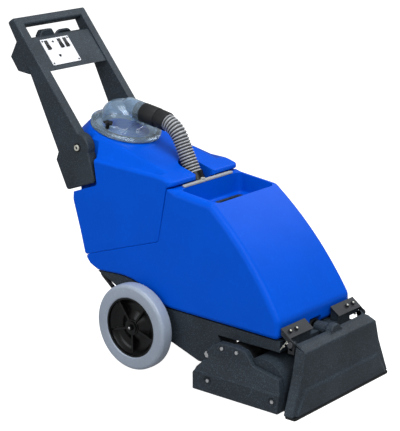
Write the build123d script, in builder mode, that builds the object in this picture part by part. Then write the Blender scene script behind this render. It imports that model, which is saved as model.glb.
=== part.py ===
"""Walk-behind carpet cleaner: wheeled chassis, two stacked tanks, folding handle, brush head and vacuum shoe.

Millimetres. +X is forward, towards the vacuum shoe, +Z is up, and the floor is Z = 0. Left is +Y. Most of
the machine mirrors about the XZ plane; the belt drive of the brush head is on the right.
"""
import os
from math import atan2, cos, degrees, radians, sin, sqrt, tan

from build123d import *

os.makedirs("parts", exist_ok=True)

# Shared fits
running_fit = 0.05
touch_gap = 0.1
overlap = 1
cut_margin = 60

# Wheels and axle
axle_x = -26
axle_d = 20
wheel_d = 250
wheel_w = 44
wheel_outer_y = 220
tyre_shoulder_r = 14
rim_d = 174
rim_w = 40
rim_wall = 5
rim_web_t = 5
rim_web = ((12, 22), (26, 48), (22, 70), (8, 84))
rim_rib_count = 5
rim_rib_w = 6
rim_rib_sink = 2
rim_rib_face = 10
rim_rib_depth = 18
hub_d = 46
hub_inset = 8
hub_inner_y = 170
bush_d = 28
hub_bolt_d = 17
hub_bolt_h = 7
hub_washer_d = 36
hub_washer_t = 3
hub_bolt_shank_d = 10
hub_bolt_shank_l = 18

# Tank flanks, seen from the front
flank_low_z = 185
flank_low_half = 169
flank_high_z = 565
flank_high_half = 150
tank_wall = 6

# Solution tank outline, seen from the side
belly_rear = (-197, 247)
belly_arch = (-111, 250)
belly_low = (32, 197)
sill_rear = (60, 190.5)
sill_front = (452, 183)
front_knee = (454, 235)
brow = (209, 512)
shelf_front = (86, 526)
shelf_rear = (53, 528)
seam_front = (29, 373)
seam_rear = (-246, 284)
tail_low = (-228, 261)
slope_crown = 18
knee_r = 30
brow_r = 22
solution_edge_r = 18

# Fill well in the solution tank
well_rear_x = 86
well_front_x = 213
well_half = 130
well_floor_z = 466
well_wall = 5
well_corner_r = 16
fill_hole_x = 140
fill_hole_y = 50
fill_hole_l = 58
fill_hole_w = 100
fill_hole_r = 10
strainer_gap = 0.8
strainer_wall = 2.5
strainer_depth = 44
strainer_lip = 7
strainer_lip_t = 3
strainer_slot_w = 4
strainer_slot_l = 40
strainer_slot_count = 9
strainer_slot_pitch = 9

# Recovery tank outline, seen from the side
prong_tip_x = 69
prong_r = 12
prong_base_z = 534
prong_nose_z = 546
prong_step_x = 30
prong_step_z = 557.5
spine_base_z = 550
deck_rear_x = -345
deck_rear_z = 573
back_ledge = (-291, 464)
back_bulge = (-293, 438)
back_waist = (-265, 354)
spine_half = 107
spine_rear_z = 661
spine_front_rise = 0.8
spine_wall_share = 0.8

# Recess of the handle legs in the recovery tank
recess_half = 118
recess_toe = (-205, 495)
recess_knee = (-219, 567)
recess_top = (-240, 675)
recess_out_x = -420
recess_out_z = 416
pivot_boss_d = 34
pivot_boss_l = 24

# Notch and channel of the vacuum hose between the tanks
riser_x = 46
channel_d = 54
notch_half = 36
notch_end_x = 14
notch_front_x = 76
notch_floor_z = 470

# Tunnel of the shoe hose under the front of the solution tank
tunnel_half = 26
tunnel_top_z = 206
tunnel_rear_x = 330
tunnel_bend_x = 400

# Handle
leg_gap = 2
leg_w = 29
leg_inner_y = recess_half + leg_gap
leg_outer_y = leg_inner_y + leg_w
pivot = (-283, 592)
ear_r = 42
grip_top = (-531, 940.2)
leg_brow = (-268, 618)
leg_shin = (-241, 580)
leg_toe = (-217, 499)
leg_heel = (-329, 459)
leg_calf = (-371, 544)
leg_nip = (-362, 568)
arm_elbow = (-467, 782)
grip_rear = (-554.55, 925)
grip_depth = 27
grip_t = 25
grip_round = 7
grip_sink = 2
console_top = (-486, 880)
console_bottom = (-414, 793)
console_back_top = (-516, 877)
cover_low = (-515, 787)
cover_high = (-544, 826)
console_wall = 5
handle_edge_r = 5
leg_foot_r = 10
pivot_shank_d = 12
pivot_thread_d = 8
pivot_thread_l = 16
pivot_head_d = 18
pivot_head_h = 5
pivot_head_gap = 0.3

# Switch plate and rockers
plate_w = 115
plate_h = 88
plate_t = 2
plate_y = -37
plate_corner_r = 3
plate_up = 3
rocker_w = 13
rocker_h = 31
rocker_tilt = 7
rocker_end_z = 4
rocker_mid_z = 2.6
rocker_foot_z = -8
rocker_foot_half = 5
rocker_pivot_z = -3
rocker_pin_d = 4
rocker_pin_l = 2
rocker_gap = 0.8
rocker_up = 26.5
rocker_ys = (-75, -22, 1)
switch_wall = 2
switch_depth = 20

# Cord hook and power inlet behind the console
inlet_block_ys = (-55, 8)
inlet_block_top_ys = (-43, -5)
inlet_block_top_z = 895
inlet_block_lean = 3
inlet_block_rear_x = -538
inlet_block_low_z = 830
hook_ys = (20, 85)
hook_top_z = 881
hook_x = -528
hook_rod_d = 9
hook_bend_r = 20

# Dome lid
lid_x = -231
lid_r = 104
lid_skirt_t = 3
lid_skirt_low = 3
lid_plate_t = 4
gasket_r = 99.5
gasket_w = 9
gasket_h = 13
neck_r = 75
neck_wall = 5
neck_h = 11
dome_x = -243
dome_base_r = 65
dome_base_z = 600
dome_top_r = 58
dome_top_z = 714
dome_round = 46
dome_wall = 3.5
knob_y = 83
knob_cap_d = 30
knob_cap_h = 8
knob_edge_r = 2
knob_stem_d = 12
knob_stem_h = 13
knob_rod_d = 7
knob_rod_low = 2
knob_hole_gap = 0.4
knob_boss_d = 12
knob_boss_h = 8

# Vacuum hose, its cuff and the inlet spigot
hose_d = 48
hose_groove_d = 42.5
hose_bore_d = 37
hose_ribs = 29
hose_rib_up = 0.22
hose_rib_crest = 0.62
hose_rib_down = 0.84
hose_drop = 9.4
hose_plunge = 63
hose_bend_r = 85
hose_corner = (-41, 668)
hose_head = 52
hose_tail = 122
cuff_d = 55
cuff_l = 64
spigot_d = 46
spigot_bore = 38
spigot_l = 48
inlet_boss_d = 56
inlet_boss_start = 74
inlet_boss_l = 56

# Riser pipe in the channel, and the shoe hose below it
riser_d = 46
riser_bore = 40
riser_cup_d = 54
riser_cup_l = 20
riser_bend_r = 60
riser_low_z = 240
shoe_hose_z = 133
shoe_hose_bend_r = 45
shoe_hose_climb_x = 270
shoe_hose_crest_x = 400
shoe_hose_end_x = 453

# Suction pipe from the top of the recovery tank to the vacuum motor
suction_x = -90
suction_y = 90
suction_d = 40
suction_bore = 34
suction_top_z = 530
suction_low_z = 205
suction_turn_x = -45
suction_end_x = -14
suction_end_z = 158
suction_bend_r = 25
screen_d = 50
screen_h = 30
screen_wall = 3
screen_slot_w = 8
screen_slot_h = 18

# Drain at the back of the recovery tank
drain_d = 42
drain_bore = 32
drain_flange_d = 58
drain_flange_t = 5
drain_l = 34
drain_cap_d = 54
drain_cap_start = 8
drain_cap_end = 6
drain_lug_w = 10
drain_lug_span = 74
drain_lug_t = 10
drain_lug_r = 4.5

# Retaining bar
bar_l = 214
bar_w = 14
bar_corner_r = 6
bar_t = 4
bar_x = 78
bar_bolt_y = -22
bar_bolt_d = 14
bar_bolt_h = 6

# Chassis
chassis_half = 163
chassis_sill_gap = 2
skirt_wall = 7
deck_wall = 8
deck_pad_half = 150
chassis_tail = (-128, 215)
chassis_axle_low = (-72, 92)
chassis_belly = (82, 92)
chassis_heel = (177, 60)
chassis_toe = (228, 60)
chassis_ear_low = (258, 84)
chassis_ear_high = (258, 124)
chassis_step = (246, 152)
cavity_rear_x = -150
nose_x = 484
nose_back_x = 438
nose_z = 181
nose_low_z = 152
pedestal_in_y = 64
pedestal_foot_y = 121
pedestal_back_x = 456
pedestal_slab_t = 14
bulkhead_x = 211
bulkhead_t = 5
bulkhead_in_y = 40
bulkhead_low_z = 88
axle_boss_d = 46
axle_boss_in_y = 146
axle_boss_out_y = 168
shoe_slot_half = 25
shoe_slot_rear_x = 305

# Shoe brackets
bracket_rear = (461, 222)
bracket_front = (491, 200)
bracket_t = 3
bracket_in_y = 60
bracket_out_y = 167
bracket_leg_from_rear = 18.6
bracket_leg_waist = (485, 186)
bracket_leg_front_x = 505
bracket_leg_low_z = 158
bracket_leg_high_z = 190
bracket_bolt_ys = (118, 146)
bracket_bolt_from_rear = 18
bracket_bolt_d = 12
bracket_bolt_h = 5
bracket_bolt_shank_d = 7
bracket_bolt_shank_l = 12
shoe_drop = 12

# Vacuum shoe
shoe_front_x = 552
shoe_low_z = 8
shoe_sill_x = 546
shoe_ledge_root_x = 543
shoe_ledge_z = 77
shoe_ledge_half = 173
shoe_ledge_foot_half = 218
shoe_ledge_slope = 45
shoe_brow = (542, 170)
shoe_crown_front = (520, 184)
shoe_crown = (506, 186)
shoe_rear_x = 516
shoe_half_low = 226.5
shoe_half_mid = 182
shoe_mid_z = 112
shoe_half_brow = 166
shoe_half_top = 158
shoe_wall = 5
shoe_hollow_low_z = -20
lip_h = 8
lip_t = 9
lip_half = 204
lip_chamfer = 2
lip_inset = 0.5
port_d = 39
port_bore = 31
port_z = 178
port_rear_x = 458
port_boss_d = 48
port_boss_front_x = 524
port_boss_rear_x = 500
shoe_pin = (494, 184)
shoe_pin_d = 10
shoe_pin_head_d = 16
shoe_pin_head_h = 4
shoe_pin_out_y = 168.5
shoe_slot_gap = 0.4
shoe_ear_in_y = 151
shoe_ear_out_y = 160
shoe_ear_rear_x = 486.5
shoe_ear_front_x = 511
shoe_ear_low_z = 166
shoe_ear_high_z = 192

# Brush head
brush_x = 422
brush_z = 61
brush_d = 121
brush_core_d = 64
brush_sleeve_t = 2
brush_near_y = -184
brush_far_y = 206
brush_shaft_d = 14
brush_shaft_near_y = -203
bristle_w = 3.4
bristle_rows = 8
bristles_per_row = 44
bristle_turn = 40
trough_gap = 8
trough_wall = 5
trough_low_z = 9
plate_near_y = -193
plate_in_y = -188
far_plate_in_y = 211
far_plate_y = 216
head_pivot = (236, 103)
head_pin_d = 12
head_pin_in_y = 150
head_pin_head_d = 20
head_pin_head_h = 4
head_boss_d = 30
head_arm_in_y = 165
head_arm_out_y = 174
head_arm_rear = ((222, 92), (222, 116))
head_arm_front = ((352, 92), (352, 30))
cover_outer_y = -223
cover_upper_y = -208
cover_bevel_low_z = 58
cover_bevel_high_z = 108
cover_step = 3
cover_edge_r = 2
cover_bore_d = 22
cover_bore_depth = 2.5
cover_low_z = 5
cover_high_z = 152
belt_cover_wall = 4
cover_outline = (
    (205, cover_low_z), (205, 52), (214, 70), (232, 88), (238, 110), (262, 138), (285, cover_high_z),
    (345, cover_high_z), (375, 146), (400, 112), (488, 96), (497, 60), (495, cover_low_z),
)
cover_pin_room_d = 24
cover_bolt_spots = ((258, 40), (476, 36))
crown_bolt_spots = ((297, 138), (347, 138))
cover_bolt_d = 11
cover_bolt_h = 3.5
motor_x = 312
motor_z = 98
motor_d = 84
motor_l = 140
motor_cap_d = 60
motor_cap_l = 12
motor_shaft_d = 12
motor_shaft_depth = 50
motor_pulley_d = 44
brush_pulley_d = 66
pulley_w = 9
belt_y = -198.5
belt_w = 8
belt_t = 3
spray_bar_d = 12
spray_bar_angle = 135
spray_bar_r = 86
jet_d = 8
jet_reach = 66
jet_ys = (-20, 65, 150)
spray_bar_near_y = -36
spray_bar_far_y = 161

# Machinery inside the chassis
vac_motor_x = 62
vac_motor_d = 124
vac_motor_top_z = 172
vac_motor_h = 72
vac_motor_cap_d = 96
vac_motor_cap_h = 14
vac_pad_d = 80
pad_top_z = 185
horn_d = 46
pump_x = 140
pump_l = 100
pump_w = 56
pump_corner_r = 6
pump_top_z = 166
pump_h = 52
pump_head_d = 44
pump_head_l = 16
pump_pad_l = 60
pump_pad_w = 36
feed_hose_d = 12
feed_hose_bore = 8
feed_hose_y = -118
feed_hose_start = (-213, 254)
feed_hose_low = (-227, 223)
feed_hose_turn = (-160, 170)
feed_hose_end_z = 152
feed_hose_level_x = 30
feed_hose_bend_r = 18

# Derived places
axle_z = wheel_d / 2
wheel_mid_y = wheel_outer_y - wheel_w / 2
hub_face_y = wheel_outer_y - hub_inset
rib_start_r = hub_d / 2 - rim_rib_sink
rib_end_r = rim_d / 2 - rim_wall / 2
flank_slope = (flank_low_half - flank_high_half) / (flank_high_z - flank_low_z)
tank_span = 2 * flank_low_half
spine_slope = (spine_rear_z - prong_step_z - spine_front_rise) / (prong_step_x - deck_rear_x)
lid_z = spine_rear_z - spine_slope * (lid_x - deck_rear_x)
lid_tilt = atan2(spine_slope, 1)
lid_top = gasket_h + lid_plate_t
trough_r = brush_d / 2 + trough_gap + trough_wall
sides = (("left", 1), ("right", -1))


def side_plane(y):
    """Side view at one Y: its x is X, its y is Z, and a negative extrude goes towards +Y."""
    return Plane(origin=(0, y, 0), x_dir=(1, 0, 0), z_dir=(0, -1, 0))


def lowered(point, drop):
    """A side-view point moved straight down."""
    return (point[0], point[1] - drop)


def toward(start, end, distance):
    """The point at a distance from start towards end."""
    span = sqrt((end[0] - start[0]) ** 2 + (end[1] - start[1]) ** 2)
    share = distance / span
    return (start[0] + (end[0] - start[0]) * share, start[1] + (end[1] - start[1]) * share)


def polar(origin, angle, distance):
    """The side-view point at an angle and a distance from origin."""
    return (origin[0] + distance * cos(radians(angle)), origin[1] + distance * sin(radians(angle)))


def at_height(start, end, z):
    """The point at a height on the side-view line through start and end."""
    return (start[0] + (end[0] - start[0]) * (z - start[1]) / (end[1] - start[1]), z)


def heading(start, end):
    """Angle of the side-view line from start to end."""
    return degrees(atan2(end[1] - start[1], end[0] - start[0]))


def flank_half(z):
    """Half width of the tanks at a height."""
    return flank_low_half - flank_slope * (z - flank_low_z)


def save(piece, name):
    """Labels one finished piece and writes its file."""
    piece.part.label = name
    export_step(piece.part, f"parts/{name}.step")


def belly_line(drop):
    """Underside of the solution tank from its tail to its front sill, lowered by drop."""
    Line(lowered(belly_rear, drop), lowered(belly_arch, drop))
    TangentArc(lowered(belly_arch, drop), lowered(belly_low, drop), tangent=(1, 0))
    Polyline(lowered(belly_low, drop), lowered(sill_rear, drop), lowered(sill_front, drop))


def flank_line(inset):
    """Front view of both tanks: flanks that lean in as they rise."""
    low_z = flank_low_z - cut_margin
    high_z = spine_rear_z + cut_margin
    low_half = flank_half(low_z) - inset
    high_half = flank_half(high_z) - inset
    Polyline((-low_half, low_z), (low_half, low_z), (high_half, high_z), (-high_half, high_z), close=True)


def solution_line():
    """Side view of the solution tank."""
    belly_line(0)
    Line(sill_front, front_knee)
    SagittaArc(front_knee, brow, -slope_crown)
    Polyline(brow, shelf_front, shelf_rear, seam_front, seam_rear, tail_low, belly_rear)


def tunnel_line(wall):
    """Side view of the room for the shoe hose under the solution tank."""
    Polyline(
        (tunnel_rear_x - wall, flank_low_z - cut_margin),
        (tunnel_rear_x - wall, sill_front[1] + wall),
        (tunnel_bend_x - wall, tunnel_top_z + wall),
        (nose_x, tunnel_top_z + wall),
        (nose_x, flank_low_z - cut_margin),
        close=True,
    )


def recovery_line(top_z):
    """Side view of the recovery tank up to the foot of its spine."""
    Polyline(
        seam_rear,
        seam_front,
        shelf_rear,
        (prong_tip_x, prong_base_z),
        (prong_tip_x, prong_nose_z),
        (prong_step_x, prong_step_z),
        (prong_step_x, top_z),
        (deck_rear_x, top_z),
        back_ledge,
        back_bulge,
        back_waist,
        close=True,
    )


def spine_line(x, inset):
    """Cross section of the recovery tank's raised spine at one X."""
    share = (prong_step_x - x) / (prong_step_x - deck_rear_x)
    shoulder_z = prong_step_z + (deck_rear_z - prong_step_z) * share
    spine_front_z = prong_step_z + spine_front_rise
    crest_z = spine_front_z + (spine_rear_z - spine_front_z) * share
    foot_half = flank_half(spine_base_z) - inset
    shoulder_half = flank_half(shoulder_z) - inset
    crest_half = spine_half - inset * spine_wall_share
    Polyline(
        (-foot_half, spine_base_z),
        (foot_half, spine_base_z),
        (shoulder_half, shoulder_z - inset * spine_wall_share),
        (crest_half, crest_z - inset),
        (-crest_half, crest_z - inset),
        (-shoulder_half, shoulder_z - inset * spine_wall_share),
        close=True,
    )


def recess_line():
    """Side view of the room cut for a handle leg."""
    Polyline(
        recess_toe,
        recess_knee,
        recess_top,
        (recess_out_x, recess_top[1]),
        (recess_out_x, recess_out_z),
        close=True,
    )


# Solution tank: moulded shell with a fill well, a hose channel and a tunnel under its front
with BuildPart() as solution_cavity:
    with BuildSketch(Plane.XZ):
        with BuildLine():
            solution_line()
        make_face()
        offset(amount=-tank_wall, mode=Mode.REPLACE)
    extrude(amount=tank_span, both=True)
    with BuildSketch(Plane.YZ):
        with BuildLine():
            flank_line(tank_wall)
        make_face()
    extrude(amount=tank_span * 2, both=True, mode=Mode.INTERSECT)
    with BuildSketch(Plane.XY.offset(well_floor_z - well_wall)):
        with Locations(((well_rear_x + well_front_x) / 2, 0)):
            Rectangle(well_front_x - well_rear_x + 2 * well_wall, 2 * (well_half + well_wall))
    extrude(amount=brow[1], mode=Mode.SUBTRACT)
    with BuildSketch(Plane.XY):
        with Locations((riser_x, 0)):
            Circle(channel_d / 2 + tank_wall)
        with Locations((suction_x, suction_y)):
            Circle(suction_d / 2 + tank_wall)
    extrude(amount=shelf_rear[1], mode=Mode.SUBTRACT)
    with BuildSketch(Plane.XY.offset(notch_floor_z - tank_wall)):
        with Locations((notch_front_x / 2, 0)):
            Rectangle(notch_front_x, 2 * (notch_half + tank_wall))
    extrude(amount=shelf_rear[1], mode=Mode.SUBTRACT)
    with BuildSketch(Plane.XZ):
        with BuildLine():
            tunnel_line(tank_wall)
        make_face()
    extrude(amount=tunnel_half + tank_wall, both=True, mode=Mode.SUBTRACT)

with BuildPart() as solution_tank:
    with BuildSketch(Plane.XZ) as solution_side:
        with BuildLine():
            solution_line()
        make_face()
        fillet(solution_side.vertices().sort_by_distance((*brow, 0))[:1], radius=brow_r)
        fillet(solution_side.vertices().sort_by_distance((*front_knee, 0))[:1], radius=knee_r)
    extrude(amount=tank_span, both=True)
    with BuildSketch(Plane.YZ):
        with BuildLine():
            flank_line(0)
        make_face()
    extrude(amount=tank_span * 2, both=True, mode=Mode.INTERSECT)
    flank_faces = solution_tank.faces().filter_by(lambda face: abs(face.normal_at().Y) > 0.9)
    fillet(flank_faces.edges().filter_by(lambda edge: edge.center().X > shelf_rear[0]), radius=solution_edge_r)
    add(solution_cavity.part, mode=Mode.SUBTRACT)
    with BuildSketch(Plane.XY.offset(well_floor_z)):
        with Locations(((well_rear_x + well_front_x) / 2, 0)):
            RectangleRounded(well_front_x - well_rear_x, 2 * well_half, well_corner_r)
    extrude(amount=brow[1], mode=Mode.SUBTRACT)
    with BuildSketch(Plane.XY.offset(well_floor_z)):
        with Locations((fill_hole_x, fill_hole_y)):
            RectangleRounded(fill_hole_l, fill_hole_w, fill_hole_r)
    extrude(amount=-2 * well_wall, mode=Mode.SUBTRACT)
    with BuildSketch(Plane.XY):
        with Locations((riser_x, 0)):
            Circle(channel_d / 2)
        with Locations((suction_x, suction_y)):
            Circle(suction_d / 2)
    extrude(amount=shelf_rear[1], mode=Mode.SUBTRACT)
    with BuildSketch(Plane.XY.offset(notch_floor_z)):
        with Locations((notch_front_x / 2, 0)):
            Rectangle(notch_front_x, 2 * notch_half)
    extrude(amount=shelf_rear[1], mode=Mode.SUBTRACT)
    with BuildSketch(Plane.XZ):
        with BuildLine():
            tunnel_line(0)
        make_face()
    extrude(amount=tunnel_half, both=True, mode=Mode.SUBTRACT)
save(solution_tank, "solution_tank")

# Fill strainer: a basket with a slotted floor that lifts out of the well floor
with BuildPart() as fill_strainer:
    with BuildSketch(Plane.XY.offset(well_floor_z)):
        with Locations((fill_hole_x, fill_hole_y)):
            RectangleRounded(fill_hole_l + 2 * strainer_lip, fill_hole_w + 2 * strainer_lip, fill_hole_r)
    extrude(amount=strainer_lip_t)
    with BuildSketch(Plane.XY.offset(well_floor_z + strainer_lip_t)):
        with Locations((fill_hole_x, fill_hole_y)):
            RectangleRounded(fill_hole_l - 2 * strainer_gap, fill_hole_w - 2 * strainer_gap, fill_hole_r)
    extrude(amount=-strainer_lip_t - strainer_depth)
    strainer_inset = strainer_gap + strainer_wall
    with BuildSketch(Plane.XY.offset(well_floor_z + strainer_lip_t)):
        with Locations((fill_hole_x, fill_hole_y)):
            RectangleRounded(fill_hole_l - 2 * strainer_inset, fill_hole_w - 2 * strainer_inset, fill_hole_r)
    extrude(amount=-strainer_lip_t - strainer_depth + strainer_wall, mode=Mode.SUBTRACT)
    with BuildSketch(Plane.XY.offset(well_floor_z - strainer_depth)):
        with Locations((fill_hole_x, fill_hole_y)):
            with GridLocations(1, strainer_slot_pitch, 1, strainer_slot_count):
                Rectangle(strainer_slot_l, strainer_slot_w)
    extrude(amount=strainer_wall, mode=Mode.SUBTRACT)
save(fill_strainer, "fill_strainer")

# Recovery tank: upper shell with a raised spine, two front prongs, a lid neck and room for the handle legs
lid_plane = Plane(
    origin=(lid_x, 0, lid_z),
    x_dir=(cos(lid_tilt), 0, -sin(lid_tilt)),
    z_dir=(sin(lid_tilt), 0, cos(lid_tilt)),
)
lid_line = Axis((lid_x, 0, lid_z), (sin(lid_tilt), 0, cos(lid_tilt)))
drain_angle = heading(back_waist, seam_rear) - 90
drain_spot = ((back_waist[0] + seam_rear[0]) / 2, (back_waist[1] + seam_rear[1]) / 2)
drain_plane = Plane(
    origin=(drain_spot[0], 0, drain_spot[1]),
    x_dir=(0, 1, 0),
    z_dir=(cos(radians(drain_angle)), 0, sin(radians(drain_angle))),
)
spine_hollow_front = notch_end_x - notch_half - 2 * tank_wall

with BuildPart() as recovery_cavity:
    with BuildSketch(Plane.XZ):
        with BuildLine():
            recovery_line(spine_base_z + tank_wall + overlap)
        make_face()
        offset(amount=-tank_wall, mode=Mode.REPLACE)
    extrude(amount=tank_span, both=True)
    with BuildSketch(Plane.YZ):
        with BuildLine():
            flank_line(tank_wall)
        make_face()
    extrude(amount=tank_span * 2, both=True, mode=Mode.INTERSECT)
    with BuildSketch(Plane.YZ.offset(deck_rear_x + tank_wall)):
        with BuildLine():
            spine_line(deck_rear_x + tank_wall, tank_wall)
        make_face()
    with BuildSketch(Plane.YZ.offset(spine_hollow_front)):
        with BuildLine():
            spine_line(spine_hollow_front, tank_wall)
        make_face()
    loft(ruled=True)
    for name, way in sides:
        with BuildSketch(side_plane(way * (recess_half - tank_wall))):
            with BuildLine():
                recess_line()
            make_face()
            offset(amount=tank_wall, kind=Kind.INTERSECTION, mode=Mode.REPLACE)
        extrude(amount=-way * tank_span, mode=Mode.SUBTRACT)
        with BuildSketch(side_plane(way * (recess_half - pivot_boss_l))):
            with Locations(pivot):
                Circle(pivot_boss_d / 2)
        extrude(amount=-way * pivot_boss_l, mode=Mode.SUBTRACT)
    with BuildSketch(Plane.XY.offset(notch_floor_z - tank_wall)):
        with Locations((notch_end_x, 0)):
            Circle(notch_half + tank_wall)
        with Locations((notch_end_x + notch_front_x / 2, 0)):
            Rectangle(notch_front_x, 2 * (notch_half + tank_wall))
    extrude(amount=spine_rear_z, mode=Mode.SUBTRACT)
    with BuildSketch(Plane.XY):
        with Locations((riser_x, 0)):
            Circle(channel_d / 2 + tank_wall)
    extrude(amount=spine_rear_z, mode=Mode.SUBTRACT)

with BuildPart() as recovery_tank:
    with BuildSketch(Plane.XZ):
        with BuildLine():
            recovery_line(spine_base_z)
        make_face()
    extrude(amount=tank_span, both=True)
    with BuildSketch(Plane.YZ):
        with BuildLine():
            flank_line(0)
        make_face()
    extrude(amount=tank_span * 2, both=True, mode=Mode.INTERSECT)
    prong_edges = recovery_tank.edges().filter_by(lambda edge: abs(edge.center().X - prong_tip_x) < touch_gap)
    fillet(prong_edges.filter_by(lambda edge: abs(edge.center().Y) > spine_half), radius=prong_r)
    with BuildSketch(Plane.YZ.offset(deck_rear_x)):
        with BuildLine():
            spine_line(deck_rear_x, 0)
        make_face()
    with BuildSketch(Plane.YZ.offset(prong_step_x)):
        with BuildLine():
            spine_line(prong_step_x, 0)
        make_face()
    loft(ruled=True)
    with BuildSketch(lid_plane):
        Circle(neck_r)
        with Locations((0, knob_y), (0, -knob_y)):
            Circle(knob_boss_d / 2)
    extrude(amount=knob_boss_h)
    with BuildSketch(lid_plane):
        Circle(neck_r)
    extrude(amount=neck_h)
    add(recovery_cavity.part, mode=Mode.SUBTRACT)
    with BuildSketch(lid_plane.offset(-3 * tank_wall)):
        Circle(neck_r - neck_wall)
    extrude(amount=3 * tank_wall + neck_h, mode=Mode.SUBTRACT)
    with BuildSketch(lid_plane.offset(knob_boss_h)):
        with Locations((0, knob_y), (0, -knob_y)):
            Circle(knob_rod_d / 2 + running_fit)
    extrude(amount=knob_rod_low - knob_boss_h, mode=Mode.SUBTRACT)
    for name, way in sides:
        with BuildSketch(side_plane(way * recess_half)):
            with BuildLine():
                recess_line()
            make_face()
        extrude(amount=-way * tank_span, mode=Mode.SUBTRACT)
        with BuildSketch(side_plane(way * recess_half)):
            with Locations(pivot):
                Circle(pivot_thread_d / 2)
        extrude(amount=way * pivot_thread_l, mode=Mode.SUBTRACT)
    with BuildSketch(Plane.XY.offset(notch_floor_z)):
        with Locations((notch_end_x, 0)):
            Circle(notch_half)
        with Locations((notch_end_x + notch_front_x / 2, 0)):
            Rectangle(notch_front_x, 2 * notch_half)
    extrude(amount=spine_rear_z, mode=Mode.SUBTRACT)
    with BuildSketch(Plane.XY):
        with Locations((riser_x, 0)):
            Circle(channel_d / 2)
    extrude(amount=spine_rear_z, mode=Mode.SUBTRACT)
    with BuildSketch(Plane.XY.offset(flank_low_z)):
        with Locations((suction_x, suction_y)):
            Circle(suction_d / 2)
    extrude(amount=seam_front[1] - flank_low_z, mode=Mode.SUBTRACT)
    with BuildSketch(drain_plane):
        Circle(drain_d / 2)
    extrude(amount=-2 * tank_wall, mode=Mode.SUBTRACT)
save(recovery_tank, "recovery_tank")

# Retaining bar behind the well, with its bolt
with BuildPart() as retaining_bar:
    with BuildSketch(Plane.XY.offset(shelf_rear[1])):
        with Locations((bar_x, 0)):
            RectangleRounded(bar_w, bar_l, bar_corner_r)
    extrude(amount=bar_t)
    with BuildSketch(Plane.XY.offset(shelf_rear[1] + bar_t)):
        with Locations((bar_x, bar_bolt_y)):
            RegularPolygon(bar_bolt_d / 2, 6)
    extrude(amount=bar_bolt_h)
save(retaining_bar, "retaining_bar")

# Chassis: open-bottomed base with side skirts, a nose and two pedestals for the shoe brackets
bracket_angle = heading(bracket_rear, bracket_front)
bracket_under_rear = polar(bracket_rear, bracket_angle - 90, bracket_t)
bracket_under_front = polar(bracket_front, bracket_angle - 90, bracket_t)
pedestal_rise = tan(radians(bracket_angle)) * (nose_x - bracket_under_rear[0])
pedestal_front = (nose_x, bracket_under_rear[1] + pedestal_rise)
deck_drop = chassis_sill_gap + deck_wall

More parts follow.
